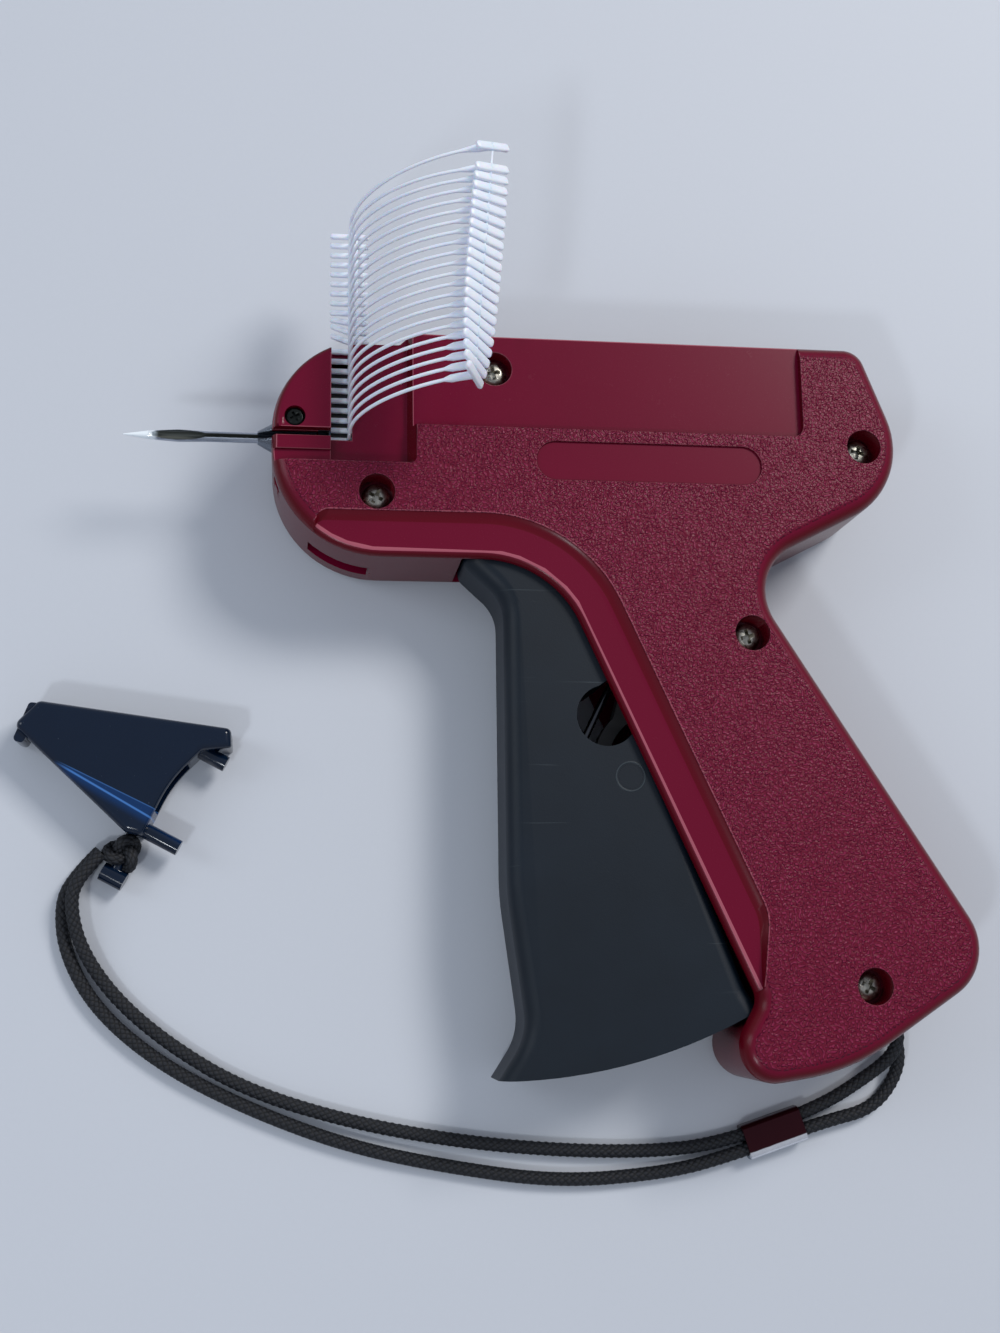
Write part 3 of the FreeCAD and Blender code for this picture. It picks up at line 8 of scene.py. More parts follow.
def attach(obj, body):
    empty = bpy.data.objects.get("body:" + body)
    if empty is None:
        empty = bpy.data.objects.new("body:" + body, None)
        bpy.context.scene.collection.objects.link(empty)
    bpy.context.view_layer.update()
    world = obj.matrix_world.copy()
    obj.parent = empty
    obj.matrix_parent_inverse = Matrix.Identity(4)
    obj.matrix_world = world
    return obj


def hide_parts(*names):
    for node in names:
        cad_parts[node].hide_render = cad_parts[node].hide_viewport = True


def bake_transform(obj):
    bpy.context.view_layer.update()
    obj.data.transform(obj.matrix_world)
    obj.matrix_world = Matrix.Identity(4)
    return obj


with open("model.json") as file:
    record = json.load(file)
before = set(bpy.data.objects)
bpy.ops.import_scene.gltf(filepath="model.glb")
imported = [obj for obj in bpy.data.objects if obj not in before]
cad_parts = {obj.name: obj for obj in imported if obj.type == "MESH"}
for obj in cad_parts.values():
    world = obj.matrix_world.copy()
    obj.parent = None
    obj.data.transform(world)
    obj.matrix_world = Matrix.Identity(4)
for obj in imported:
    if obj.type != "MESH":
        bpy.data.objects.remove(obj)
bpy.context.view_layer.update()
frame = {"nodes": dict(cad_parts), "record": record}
print("frame loaded,", len(frame["nodes"]), "nodes")

mm = 0.001  # pieces are sized in millimetres; materials, lamps and the camera in metres
slotOf = {part["node"]: part["material_slot"] for part in frame["record"]["subparts"]}
bodyOf = {node: body for body, nodes in frame["record"]["behaviour"]["bodies"].items() for node in nodes}


# camera
camera = {
    "place": (-0.0752, -0.0610, 0.3315),
    "tilt": 13.27,
    "lean": (0.572, 0.820),  # the way over the floor in which the view tips
    "lens": 43.06,
    "sensor": 36.0,
}


def placeCamera():
    lens = bpy.data.cameras.new("camera")
    lens.lens = camera["lens"]
    lens.sensor_width = camera["sensor"]
    lens.clip_start = 0.01
    holder = bpy.data.objects.new("camera", lens)
    bpy.context.scene.collection.objects.link(holder)
    axis = Vector((camera["lean"][1], -camera["lean"][0], 0))
    turn = Matrix.Rotation(math.radians(camera["tilt"]), 4, axis)
    holder.matrix_world = Matrix.Translation(camera["place"]) @ turn
    bpy.context.scene.camera = holder


placeCamera()


# node trees
class Wire:
    # an output socket; arithmetic on it becomes Math nodes
    def __init__(self, graph, socket):
        self.graph = graph
        self.socket = socket

    def maths(self, operation, first, second=None):
        values = {0: first} if second is None else {0: first, 1: second}
        return self.graph.add("ShaderNodeMath", {"operation": operation}, values)

    def __add__(self, other):
        return self.maths("ADD", self, other)

    __radd__ = __add__

    def __mul__(self, other):
        return self.maths("MULTIPLY", self, other)

    __rmul__ = __mul__

    def __sub__(self, other):
        return self.maths("SUBTRACT", self, other)

    def __rsub__(self, other):
        return self.maths("SUBTRACT", other, self)

    def __truediv__(self, other):
        return self.maths("DIVIDE", self, other)

    def __rtruediv__(self, other):
        return self.maths("DIVIDE", other, self)

    def __pow__(self, other):
        return self.maths("POWER", self, other)

    def __abs__(self):
        return self.maths("ABSOLUTE", self)


class Graph:
    def __init__(self, tree):
        self.tree = tree

    def add(self, kind, settings=None, values=None, out=0):
        made = self.tree.nodes.new(kind)
        for name, value in (settings or {}).items():
            setattr(made, name, value)
        for key, value in (values or {}).items():
            if isinstance(value, Wire):
                self.tree.links.new(value.socket, made.inputs[key])
            else:
                made.inputs[key].default_value = value
        return Wire(self, made.outputs[out]) if len(made.outputs) else None

    def ease(self, value, low, high):
        # 0 to 1, smoothly, as value goes from low to high
        return self.add("ShaderNodeMapRange", {"interpolation_type": "SMOOTHSTEP"},
                        {0: value, 1: low, 2: high, 3: 0.0, 4: 1.0})

    def mix(self, share, first, second):
        return self.add("ShaderNodeMix", {"data_type": "RGBA"}, {0: share, 6: first, 7: second}, out=2)

    def mark(self, name):
        # a number that the mesh keeps on each face
        return self.add("ShaderNodeAttribute", {"attribute_name": name}, out="Fac")

    def noise(self, place, scale, detail=2.0, roughness=0.5, warp=0.0, out=0):
        values = {"Vector": place, "Scale": scale, "Detail": detail,
                  "Roughness": roughness, "Distortion": warp}
        return self.add("ShaderNodeTexNoise", {}, values, out)

    def axes(self, place):
        parts = self.add("ShaderNodeSeparateXYZ", {}, {0: place}).socket.node
        return [Wire(self, parts.outputs[i]) for i in range(3)]

    def bump(self, height, depth, strength=1.0, normal=None):
        values = {"Height": height, "Distance": depth, "Strength": strength}
        if normal is not None:
            values["Normal"] = normal
        return self.add("ShaderNodeBump", {}, values)


def colour(red, green, blue):
    # screen colour, 0 to 255, as the linear colour that Blender works in
    def linear(value):
        value /= 255.0
        return value / 12.92 if value <= 0.04045 else ((value + 0.055) / 1.055) ** 2.4
    return (linear(red), linear(green), linear(blue), 1.0)


def distance(first, second):
    return (first * first + second * second) ** 0.5


def newMaterial(name, constants, paint):
    made = bpy.data.materials.new(name)
    made.use_nodes = True
    made.node_tree.nodes.clear()
    graph = Graph(made.node_tree)
    shader = graph.add("ShaderNodeBsdfPrincipled", {}, constants).socket.node
    graph.add("ShaderNodeOutputMaterial", {}, {"Surface": Wire(graph, shader.outputs[0])})
    place = graph.add("ShaderNodeTexCoord", {}, {}, out="Object")
    for socket, value in paint(graph, place).items():
        if isinstance(value, Wire):
            made.node_tree.links.new(value.socket, shader.inputs[socket])
        else:
            shader.inputs[socket].default_value = value
    return made


shellFinish = {
    "deep": colour(96, 4, 35),
    # ridge is partly the grain's own paler tone, partly a painted highlight on the crests
    "ridge": colour(148, 42, 82),
    "ridgeShare": 0.45,
    "pebbleShare": 0.15,
    "smooth": colour(104, 5, 40),
    # painted shade for the walls that face away from the sky
    "steepShade": colour(84, 1, 12),
    "steepShadeShare": 0.85,
    # the colour of the painted highlight along the creases and the ledge's rim
    "edgeHighlight": colour(206, 120, 136),
    "edgeHighlightShare": 0.5,
    "nearFace": 0.026,
    "faceSlack": 0.00016,
    "driftScale": 420.0,
    "driftReach": (0.0007, 0.0007, 0.0),
    "grainScale": 560.0,
    "grainWaves": 2.0,
    "grainEdge": (0.50, 0.62),
    "grainDepth": 0.0007,
    "ridgeRelief": 0.8,
    "pebbleRelief": 0.35,
    "pebbleScale": 1500.0,
    "fineScale": 4200.0,
    "fineDepth": 0.000012,
    "cloudScale": 34.0,
    "scuffScale": 260.0,
    "scuffEdge": (0.66, 0.78),
    "roughness": 0.24,
}


def shellPaint(graph, place):
    # winding grain on the two outer faces, smooth plastic on all the rest, a painted highlight line along
    # the creases and the ledge's rim, and painted shade on the steep walls
    s = shellFinish
    z = graph.axes(place)[2]
    slack = s["faceSlack"]
    near = graph.ease(z, s["nearFace"] - slack, s["nearFace"] - slack / 4)
    far = 1.0 - graph.ease(z, slack / 4, slack)
    face = (near + far) * (1.0 - graph.mark("plain"))
    drift = graph.noise(place, s["driftScale"], 1.0, out="Color")
    bent = graph.add("ShaderNodeVectorMath", {"operation": "MULTIPLY_ADD"},
                     {0: drift, 1: s["driftReach"], 2: place})
    waves = graph.add("ShaderNodeTexGabor", {"gabor_type": "2D"}, {
        "Vector": bent, "Scale": s["grainScale"], "Frequency": s["grainWaves"], "Anisotropy": 0.0},
        out="Value")
    ridge = graph.ease(waves, *s["grainEdge"])
    fine = graph.noise(place, s["fineScale"])
    pebble = graph.noise(place, s["pebbleScale"])
    cloud = graph.noise(place, s["cloudScale"], 3.0, 0.6)
    scuffs = graph.ease(graph.noise(place, s["scuffScale"], 4.0, 0.7), *s["scuffEdge"])
    plain = graph.mix(cloud * 0.5, s["smooth"], s["deep"])
    # painted shade: steep walls are mixed towards a dark red
    plain = graph.mix(graph.mark("steepShade") * s["steepShadeShare"], plain, s["steepShade"])
    # lighter crests and darker troughs: partly the grain's own tone, partly painted relief shading
    grained = graph.mix(ridge * s["ridgeShare"] + pebble * s["pebbleShare"], s["deep"], s["ridge"])
    base = graph.mix(face, plain, grained)
    relief = graph.bump((ridge * s["ridgeRelief"] + pebble * s["pebbleRelief"]) * face, s["grainDepth"])
    return {
        # painted highlight: the marked creases and ledge rim are mixed towards a pale pink
        "Base Color": graph.mix(graph.mark("edge") * s["edgeHighlightShare"], base, s["edgeHighlight"]),
        "Roughness": s["roughness"] + face * 0.10 + scuffs * 0.10 + fine * 0.05,
        "Normal": graph.bump(fine, s["fineDepth"], 0.6, relief),
    }


triggerFinish = {
    "dark": colour(7, 16, 25),
    "pale": colour(12, 26, 39),
    "scratch": colour(96, 108, 114),
    "scratchShare": 0.2,
    "scratchTurn": (0.0, 0.0, 0.6),
    "scratchSpread": (3.0, 120.0, 1.0),
    "scratchScale": 14.0,
    "scratchEdge": (0.70, 0.74),
    "patchScale": 60.0,
    "patchEdge": (0.52, 0.66),
    "mark": (-0.0075, -0.0231),
    "markRadius": 0.0029,
    "markEdge": (0.00008, 0.00024),
    "markShare": 0.18,
    "cloudScale": 42.0,
    "fineScale": 3800.0,
    "fineDepth": 0.000018,
    "roughness": 0.40,
}


def triggerPaint(graph, place):
    # dark plastic with a few fine scratches and the ring of an ejector pin
    t = triggerFinish
    cloud = graph.noise(place, t["cloudScale"], 4.0, 0.6)
    fine = graph.noise(place, t["fineScale"])
    turned = graph.add("ShaderNodeMapping", {}, {
        "Vector": place, "Rotation": t["scratchTurn"], "Scale": t["scratchSpread"]})
    streak = graph.noise(turned, t["scratchScale"], 2.0, 0.5, 0.4)
    patch = graph.ease(graph.noise(place, t["patchScale"], 1.0), *t["patchEdge"])
    scratch = graph.ease(streak, *t["scratchEdge"]) * patch
    x, y, _ = graph.axes(place)
    reach = distance(x - t["mark"][0], y - t["mark"][1])
    mark = 1.0 - graph.ease(abs(reach - t["markRadius"]), *t["markEdge"])
    base = graph.mix(cloud, t["dark"], t["pale"])
    return {
        "Base Color": graph.mix(scratch * t["scratchShare"] + mark * t["markShare"], base, t["scratch"]),
        "Roughness": t["roughness"] + cloud * 0.08 + scratch * 0.2 + fine * 0.05,
        "Normal": graph.bump(fine + scratch * -0.6 + mark * 5.0, t["fineDepth"], 0.7),
    }


capFinish = {
    "dark": colour(3, 18, 38),
    "pale": colour(5, 24, 46),
    # the paler band and the blue streak lines are painted reflections
    "reflectionBand": colour(4, 56, 112),
    "reflectionBandShare": 0.6,
    "reflectionBandEdges": (-0.0022, -0.0001),
    "streak": colour(66, 118, 186),
    "reflectionStreaks": [(0.0005, 0.235, 0.00030, 0.9), (0.0009, 0.310, 0.00016, 0.5)],  # foot, slope, width, share
    "edge": (-0.1293, -0.0116),
    "way": (0.7247, -0.6890),
    "start": 0.0115,
    "fade": (-0.001, 0.004),
    "dust": colour(90, 104, 124),
    "dustShare": 0.15,
    "dustScale": 1900.0,
    "dustEdge": (0.76, 0.82),
    "cloudScale": 60.0,
    "fineScale": 2600.0,
    "fineDepth": 0.000006,
    "roughness": 0.14,
}


def capPaint(graph, place):
    # a painted reflection: two blue highlight lines, and a paler band between them, fan out from the long
    # lower edge
    c = capFinish
    x, y, _ = graph.axes(place)
    (edgeX, edgeY), (wayX, wayY) = c["edge"], c["way"]
    across = (x - edgeX) * -wayY + (y - edgeY) * wayX
    along = (x - edgeX) * wayX + (y - edgeY) * wayY
    offsets, streak = [], 0.0
    for foot, slope, width, strength in c["reflectionStreaks"]:
        offsets.append(across - ((along - c["start"]) * slope + foot))
        streak = streak + (1.0 - graph.ease(abs(offsets[-1]), width * 0.25, width)) * strength
    fade = graph.ease(along, c["start"] + c["fade"][0], c["start"] + c["fade"][1])
    low, high = c["reflectionBandEdges"]
    reflectionBand = graph.ease(offsets[0], low, 0.0) * (1.0 - graph.ease(offsets[1], high, 0.0)) * fade
    cloud = graph.noise(place, c["cloudScale"], 3.0)
    fine = graph.noise(place, c["fineScale"])
    dust = graph.ease(graph.noise(place, c["dustScale"], 1.0), *c["dustEdge"])
    base = graph.mix(reflectionBand * c["reflectionBandShare"], graph.mix(cloud, c["dark"], c["pale"]), c["reflectionBand"])
    # painted highlight: the blue streak lines
    base = graph.mix(streak * fade, base, c["streak"])
    return {
        "Base Color": graph.mix(dust * c["dustShare"], base, c["dust"]),
        "Roughness": c["roughness"] + cloud * 0.06 + dust * 0.3,
        "Normal": graph.bump(fine, c["fineDepth"], 0.5),
    }


nylonFinish = {
    "shade": colour(222, 232, 255),
    "light": colour(246, 250, 255),
    "milkScale": 300.0,
    "fineScale": 2400.0,
    "depth": 0.00003,
    "roughness": 0.30,
}


def nylonPaint(graph, place):
    n = nylonFinish
    milk = graph.noise(place, n["milkScale"], 3.0)
    fine = graph.noise(place, n["fineScale"])
    return {
        "Base Color": graph.mix(milk, n["shade"], n["light"]),
        "Roughness": n["roughness"] + fine * 0.12,
        "Normal": graph.bump(fine + milk, n["depth"], 0.5),
    }


steelFinish = {
    "dark": colour(150, 156, 168),
    "light": colour(186, 192, 204),
    # tip is a painted highlight, near white
    "tip": colour(236, 244, 250),
    "tipX": -0.1022,
    "tipFade": 0.0006,
    "root": colour(116, 122, 132),
    "rootX": -0.0822,
    "rootFade": (0.0002, 0.0003),
    # painted shade inside the needle's hollow
    "bore": colour(78, 82, 78),
    "boreRadius": 0.00084,
    "boreFade": 0.00004,
    # painted shade on the steel inside the housing
    "inside": colour(74, 76, 82),
    "insideX": -0.0460,
    "insideFade": 0.002,
    "axis": (0.04565, 0.0200),
    "grainSpread": (60.0, 2600.0, 2600.0),
    "grainDepth": 0.000006,
    "cloudScale": 180.0,
    "roughness": 0.16,
}


def steelPaint(graph, place):
    # drawn along X; painted shade in the bore, a near white painted highlight at the tip, darker from the
    # root on, and painted shade inside the housing
    s = steelFinish
    x, y, z = graph.axes(place)
    along = graph.add("ShaderNodeMapping", {}, {"Vector": place, "Scale": s["grainSpread"]})
    grain = graph.noise(along, 1.0, 3.0)
    cloud = graph.noise(place, s["cloudScale"], 3.0)
    reach = distance(y - s["axis"][0], z - s["axis"][1])
    root = graph.ease(x, s["rootX"] + s["rootFade"][0], s["rootX"] + s["rootFade"][1])
    around = graph.ease(reach, s["boreRadius"] - s["boreFade"], s["boreRadius"] + s["boreFade"])
    # painted shade in the hollow, ahead of the root
    bore = (1.0 - around) * (1.0 - root)
    # painted highlight at the tip, where the steel is also made less metallic so that the white shows
    tip = 1.0 - graph.ease(x, s["tipX"] - s["tipFade"], s["tipX"] + s["tipFade"])
    # painted shade from insideX on, within the housing
    inside = graph.ease(x, s["insideX"], s["insideX"] + s["insideFade"])
    base = graph.mix(root, graph.mix(cloud, s["dark"], s["light"]), s["root"])
    base = graph.mix(bore, base, s["bore"])
    base = graph.mix(inside, base, s["inside"])
    return {
        "Base Color": graph.mix(tip, base, s["tip"]),
        "Metallic": 1.0 - tip * 0.75 - bore * 0.8,
        "Roughness": s["roughness"] + grain * 0.14 + cloud * 0.06 + bore * 0.3,
        "Normal": graph.bump(grain, s["grainDepth"], 0.6),
    }


zincFinish = {
    "dark": colour(150, 148, 140),
    "light": colour(206, 203, 192),
    "dirt": colour(70, 62, 52),
    "dirtShare": 0.7,
    "dirtScale": 700.0,
    "dirtEdge": (0.55, 0.75),
    "cellScale": 1400.0,
    "depth": 0.00003,
    "roughness": 0.26,
}


def zincPaint(graph, place):
    # crystals of plating with grime between them
    s = zincFinish
    cells = graph.add("ShaderNodeTexVoronoi", {}, {"Vector": place, "Scale": s["cellScale"]}, out="Color")
    shade = graph.axes(cells)[0]
    dirt = graph.ease(graph.noise(place, s["dirtScale"], 4.0, 0.7), *s["dirtEdge"])
    return {
        "Base Color": graph.mix(dirt * s["dirtShare"], graph.mix(shade, s["dark"], s["light"]), s["dirt"]),
        "Roughness": s["roughness"] + shade * 0.12 + dirt * 0.3,
        "Normal": graph.bump(shade + dirt, s["depth"], 0.5),
    }


blackMetalFinish = {
    "dark": colour(22, 26, 26),
    "worn": colour(58, 66, 62),
    "wearScale": 1200.0,
    "wearEdge": (0.58, 0.72),
    "depth": 0.00002,
    "roughness": 0.34,
}


def blackMetalPaint(graph, place):
    b = blackMetalFinish
    worn = graph.ease(graph.noise(place, b["wearScale"], 4.0, 0.7), *b["wearEdge"])
    return {
        "Base Color": graph.mix(worn, b["dark"], b["worn"]),
        "Roughness": b["roughness"] + worn * 0.12,
        "Normal": graph.bump(worn, b["depth"], 0.6),
    }


chromeFinish = {
    # a painted dark reflection, not a tint of the plating
    "darkReflection": colour(52, 12, 22),
    "dull": colour(206, 208, 216),
    "bright": colour(240, 242, 248),
    "low": colour(96, 110, 126),
    "lowEdge": (0.0020, 0.0034),
    "middle": (0.02445, -0.09395),
    "way": (0.9555, 0.2950),
    "edge": -0.0020,
    "edgeFade": 0.0001,
    "edgeWander": 0.0002,
    "rubScale": 500.0,
    "rubDepth": 0.00002,
    "metallic": 0.75,
    "roughness": 0.18,
}


def chromePaint(graph, place):
    # plating with a painted dark reflection over one side and bright metal on the other, noise moving the
    # edge between them; darker and bluer near the floor
    c = chromeFinish
    x, y, z = graph.axes(place)
    across = (y - c["middle"][1]) * c["way"][0] - (x - c["middle"][0]) * c["way"][1]
    rubAndReflectionEdge = graph.noise(place, c["rubScale"], 4.0, 0.6)
    # where the painted dark reflection lies, its edge moved by noise
    darkReflection = graph.ease(across + rubAndReflectionEdge * c["edgeWander"], c["edge"] - c["edgeFade"], c["edge"] + c["edgeFade"])
    bright = graph.mix(graph.ease(z, *c["lowEdge"]), c["low"], graph.mix(rubAndReflectionEdge, c["dull"], c["bright"]))
    return {
        "Base Color": graph.mix(darkReflection, bright, c["darkReflection"]),
        "Metallic": c["metallic"],
        "Roughness": c["roughness"] + rubAndReflectionEdge * 0.12,
        "Normal": graph.bump(rubAndReflectionEdge, c["rubDepth"], 0.4),
    }


innerFinish = {
    "dark": colour(26, 26, 28),
    "pale": colour(44, 44, 46),
    "cloudScale": 120.0,
    "fineScale": 3000.0,
    "fineDepth": 0.00002,
    "roughness": 0.42,
}


def innerPaint(graph, place):
    n = innerFinish
    cloud = graph.noise(place, n["cloudScale"], 3.0)
    return {
        "Base Color": graph.mix(cloud, n["dark"], n["pale"]),
        "Roughness": n["roughness"] + cloud * 0.12,
        "Normal": graph.bump(graph.noise(place, n["fineScale"]), n["fineDepth"], 0.6),
    }


cordFinish = {
    # gap is painted shade in the grooves between strands, strand a painted sheen on their crowns
    "gap": colour(2, 3, 6),
    "strand": colour(30, 33, 40),
    "fuzz": colour(10, 11, 15),
    "fuzzShare": 0.35,
    "fuzzScale": 900.0,
    "fibreScale": 6500.0,
    "strandEdge": (0.62, 1.0),
    "depth": 0.00006,
    "roughness": 0.52,
}


def cordPaint(graph, place):
    # the braid map counts the strands crossed, one way in each of its axes
    c = cordFinish
    crown = 1.0
    for count in graph.axes(graph.add("ShaderNodeUVMap", {"uv_map": "braid"}))[:2]:
        share = graph.add("ShaderNodeMath", {"operation": "FRACT"}, {0: count})
        crown = (1.0 - graph.ease(abs(share - 0.5) * 2.0, *c["strandEdge"])) * crown
    fibres = graph.noise(place, c["fibreScale"])
    fuzz = graph.noise(place, c["fuzzScale"], 3.0)
    return {
        # painted shade between the strands and a painted sheen on their crowns
        "Base Color": graph.mix(fuzz * c["fuzzShare"], graph.mix(crown, c["gap"], c["strand"]), c["fuzz"]),
        "Roughness": c["roughness"] + fibres * 0.2,
        "Normal": graph.bump(fibres + crown, c["depth"], 0.8),
    }


finishes = {
    "shell": newMaterial("shellPlastic", {"Specular IOR Level": 0.2}, shellPaint),
    "trigger": newMaterial("triggerPlastic", {"Specular IOR Level": 0.3}, triggerPaint),
    "cap": newMaterial("capPlastic", {
        "Specular IOR Level": 0.35, "Coat Weight": 0.1, "Coat Roughness": 0.06}, capPaint),
    "nylon": newMaterial("clearNylon", {
        "Transmission Weight": 0.08, "IOR": 1.5,
        "Subsurface Weight": 0.2, "Subsurface Scale": 0.001}, nylonPaint),
    "steel": newMaterial("polishedSteel", {"Metallic": 1.0}, steelPaint),
    "zinc": newMaterial("zincPlate", {"Metallic": 1.0}, zincPaint),
    "black_metal": newMaterial("blackenedSteel", {"Metallic": 0.7}, blackMetalPaint),
    "chrome": newMaterial("paintedReflectionChrome", {}, chromePaint),
    "inner_plastic": newMaterial("blackPlastic", {}, innerPaint),
    "cord": newMaterial("braidedCord", {"Specular IOR Level": 0.35}, cordPaint),
}
print("materials made:", len(finishes))


# pieces
def newPiece(name, mesh):
    piece = bpy.data.objects.new(name, mesh)
    bpy.context.scene.collection.objects.link(piece)
    return piece


def meshOf(work, name):
    mesh = bpy.data.meshes.new(name)
    work.to_mesh(mesh)
    work.free()
    return mesh


def plainMesh(holder, name):
    # the evaluated shape of a helper object, which is then thrown away
    shapes = bpy.context.evaluated_depsgraph_get()
    mesh = bpy.data.meshes.new_from_object(holder.evaluated_get(shapes))
    mesh.name = name
    data = holder.data
    bpy.data.objects.remove(holder)
    if isinstance(data, bpy.types.Mesh):
        bpy.data.meshes.remove(data)
    else:
        bpy.data.curves.remove(data)
    return mesh


def dress(name, mesh, node, crease=32.0, weighted=True, rides=True):
    # one finished piece in place of a CAD node, shaded smooth between its creases
    mesh.materials.clear()
    mesh.materials.append(finishes[slotOf[node]])
    mesh.shade_smooth()
    mesh.set_sharp_from_angle(angle=math.radians(crease))
    if weighted:
        holder = newPiece(name, mesh)
        evened = holder.modifiers.new("evened", "WEIGHTED_NORMAL")
        evened.keep_sharp = True
        evened.weight = 100
        mesh = plainMesh(holder, name)
    piece = newPiece(name, mesh)
    if rides:
        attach(piece, bodyOf[node])
    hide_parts(node)
    return piece


weld = {
    "gap": 0.4e-6,  # metres
    "flatness": 0.6,  # degrees
}


def weldedMesh(node, name):
    # a copy of a CAD node's mesh, its faces joined at their seams and its flat parts simplified
    work = bmesh.new()
    work.from_mesh(frame["nodes"][node].data)
    bmesh.ops.remove_doubles(work, verts=work.verts, dist=weld["gap"])
    bmesh.ops.dissolve_limit(work, angle_limit=math.radians(weld["flatness"]), use_dissolve_boundaries=False,
                             verts=work.verts, edges=work.edges, delimit={"NORMAL"})
    return meshOf(work, name)


# where the painted highlight lines go on the shell, and how steep a wall must be for painted shade
creaseHighlights = {
    "lowest": 20.4,
    "shortest": 0.3,
    "creases": (17.0, 110.0),
    "faceUp": 0.9,
    "width": 0.15,
    "mark": 0.7,
    "ledge": (24.10, 24.399),
    "ledgeUp": (0.93, 0.9995),
    "ledgeHighlight": 1.0,
    "steepUp": 0.95,
    "steepFade": 0.2,
}


def edgedMesh(mesh, plain):
    # narrow faces along the creases of the shell's face, and marks that its material reads: where a
    # highlight line is painted, where steep walls get painted shade, and which faces stay plain
    e = creaseHighlights
    work = bmesh.new()
    work.from_mesh(mesh)
    work.normal_update()
    low, high = (math.radians(angle) for angle in e["creases"])

    def onFace(edge):
        if len(edge.link_faces) != 2 or min(v.co.z for v in edge.verts) < e["lowest"] * mm:
            return False
        if edge.calc_length() < e["shortest"] * mm or not low < edge.calc_face_angle(0.0) < high:
            return False
        return max(face.normal.z for face in edge.link_faces) > e["faceUp"] and edge.is_convex

    # the bevelled creases are marked for a painted highlight line
    chosen = [edge for edge in work.edges if onFace(edge)]
    mark = work.faces.layers.float.new("edge")
    fresh = []
    if chosen:
        fresh = bmesh.ops.bevel(work, geom=chosen, offset=e["width"] * mm, segments=1, profile=0.5,
                                affect="EDGES", clamp_overlap=False)["faces"]
    for face in fresh:
        face[mark] = e["mark"]
    steepShade = work.faces.layers.float.new("steepShade")
    plate = work.faces.layers.float.new("plain")
    work.normal_update()
    for face in work.faces:
        up, height = face.normal.z, face.calc_center_median().z / mm
        # a narrow band of the ledge next to its rounded rim is marked for a painted highlight as well
        if e["ledge"][0] < height < e["ledge"][1] and e["ledgeUp"][0] < up < e["ledgeUp"][1]:
            face[mark] = e["ledgeHighlight"]
        # the steeper a face, the more painted shade it gets
        face[steepShade] = min(max((e["steepUp"] - abs(up)) / e["steepFade"], 0.0), 1.0)
        face[plate] = plain
    work.to_mesh(mesh)
    work.free()
    print("edge lines:", len(chosen), "creases,", len(fresh), "faces")
    return mesh


# pieces whose CAD shape is right: node, piece name, crease angle
smoothSkins = [
    ("near_shell", "nearShell", 26.0),
    ("far_shell", "farShell", 26.0),
    ("nose_plate", "nosePlate", 26.0),
    ("nose_screw", "noseScrew", 30.0),
    ("trigger", "trigger", 26.0),
    ("drive_pin", "drivePin", 30.0),
    ("trigger_pivot_pin", "triggerPivotPin", 30.0),
    ("drive_lever", "driveLever", 30.0),
    ("lever_pivot_pin", "leverPivotPin", 30.0),
    ("ram_carriage", "ramCarriage", 30.0),
    ("link_pin", "linkPin", 30.0),
    ("push_rod", "pushRod", 30.0),
    ("needle", "needle", 30.0),
    ("needle_hub", "needleHub", 30.0),
    ("feed_guide", "feedGuide", 30.0),
    ("cutter_blade", "cutterBlade", 30.0),
    ("feed_axle", "feedAxle", 30.0),
    ("feed_wheel", "feedWheel", 30.0),
    ("pawl_spring", "pawlSpring", 30.0),
    ("needle_cap", "needleCap", 30.0),
    ("lanyard_post", "lanyardPost", 30.0),
    ("ferrule", "ferrule", 30.0),
]

made = {}
for node, name, crease in smoothSkins:
    skin = weldedMesh(node, name)
    if slotOf[node] == "shell":
        skin = edgedMesh(skin, 1.0 if node == "nose_plate" else 0.0)
    made[node] = dress(name, skin, node, crease)
print("smooth skins made:", len(made))


# screws
screws = {
    "places": [(-58.2, 33.4), (-34.1, 60.6), (43.3, 45.8), (17.7, 5.7), (39.4, -64.7)],
    "seat": 20.0,
    "seatGap": 0.02,
    "headRadius": 2.9,
    "headHeight": 2.2,
    "rim": 0.5,
    "domeStart": 14.0,
    "domeSteps": 6,
    "domePower": 0.6,
    "shankRadius": 1.45,
    "shankLength": 15.0,
    "threadPitch": 1.2,
    "threadDepth": 0.35,
    "threadStart": 1.6,
    "threadFree": 3.0,
    "crest": 0.55,
    "tip": 0.5,
    "waist": 0.1,
    "waistStart": 0.3,
    "lip": 0.12,
    "recessReach": 1.75,
    "recessWidth": 0.78,
    "recessDepth": 1.5,
    "recessTaper": 0.35,
    "seed": 4,
}


def lathe(work, profile, steps=48):
    # faces swept round Z from (radius, height) pairs; radius 0 closes at a point
    rings = []
    for radius, height in profile:
        if radius == 0:
            rings.append([work.verts.new((0, 0, height))])
        else:
            rings.append([work.verts.new((radius * math.cos(math.tau * i / steps),
                                          radius * math.sin(math.tau * i / steps), height))
                          for i in range(steps)])
    for low, high in zip(rings, rings[1:]):
        for i in range(steps):
            j = (i + 1) % steps
            corners = [low[i % len(low)], low[j % len(low)], high[j % len(high)], high[i % len(high)]]
            work.faces.new(list(dict.fromkeys(corners)))
    bmesh.ops.recalc_face_normals(work, faces=work.faces)


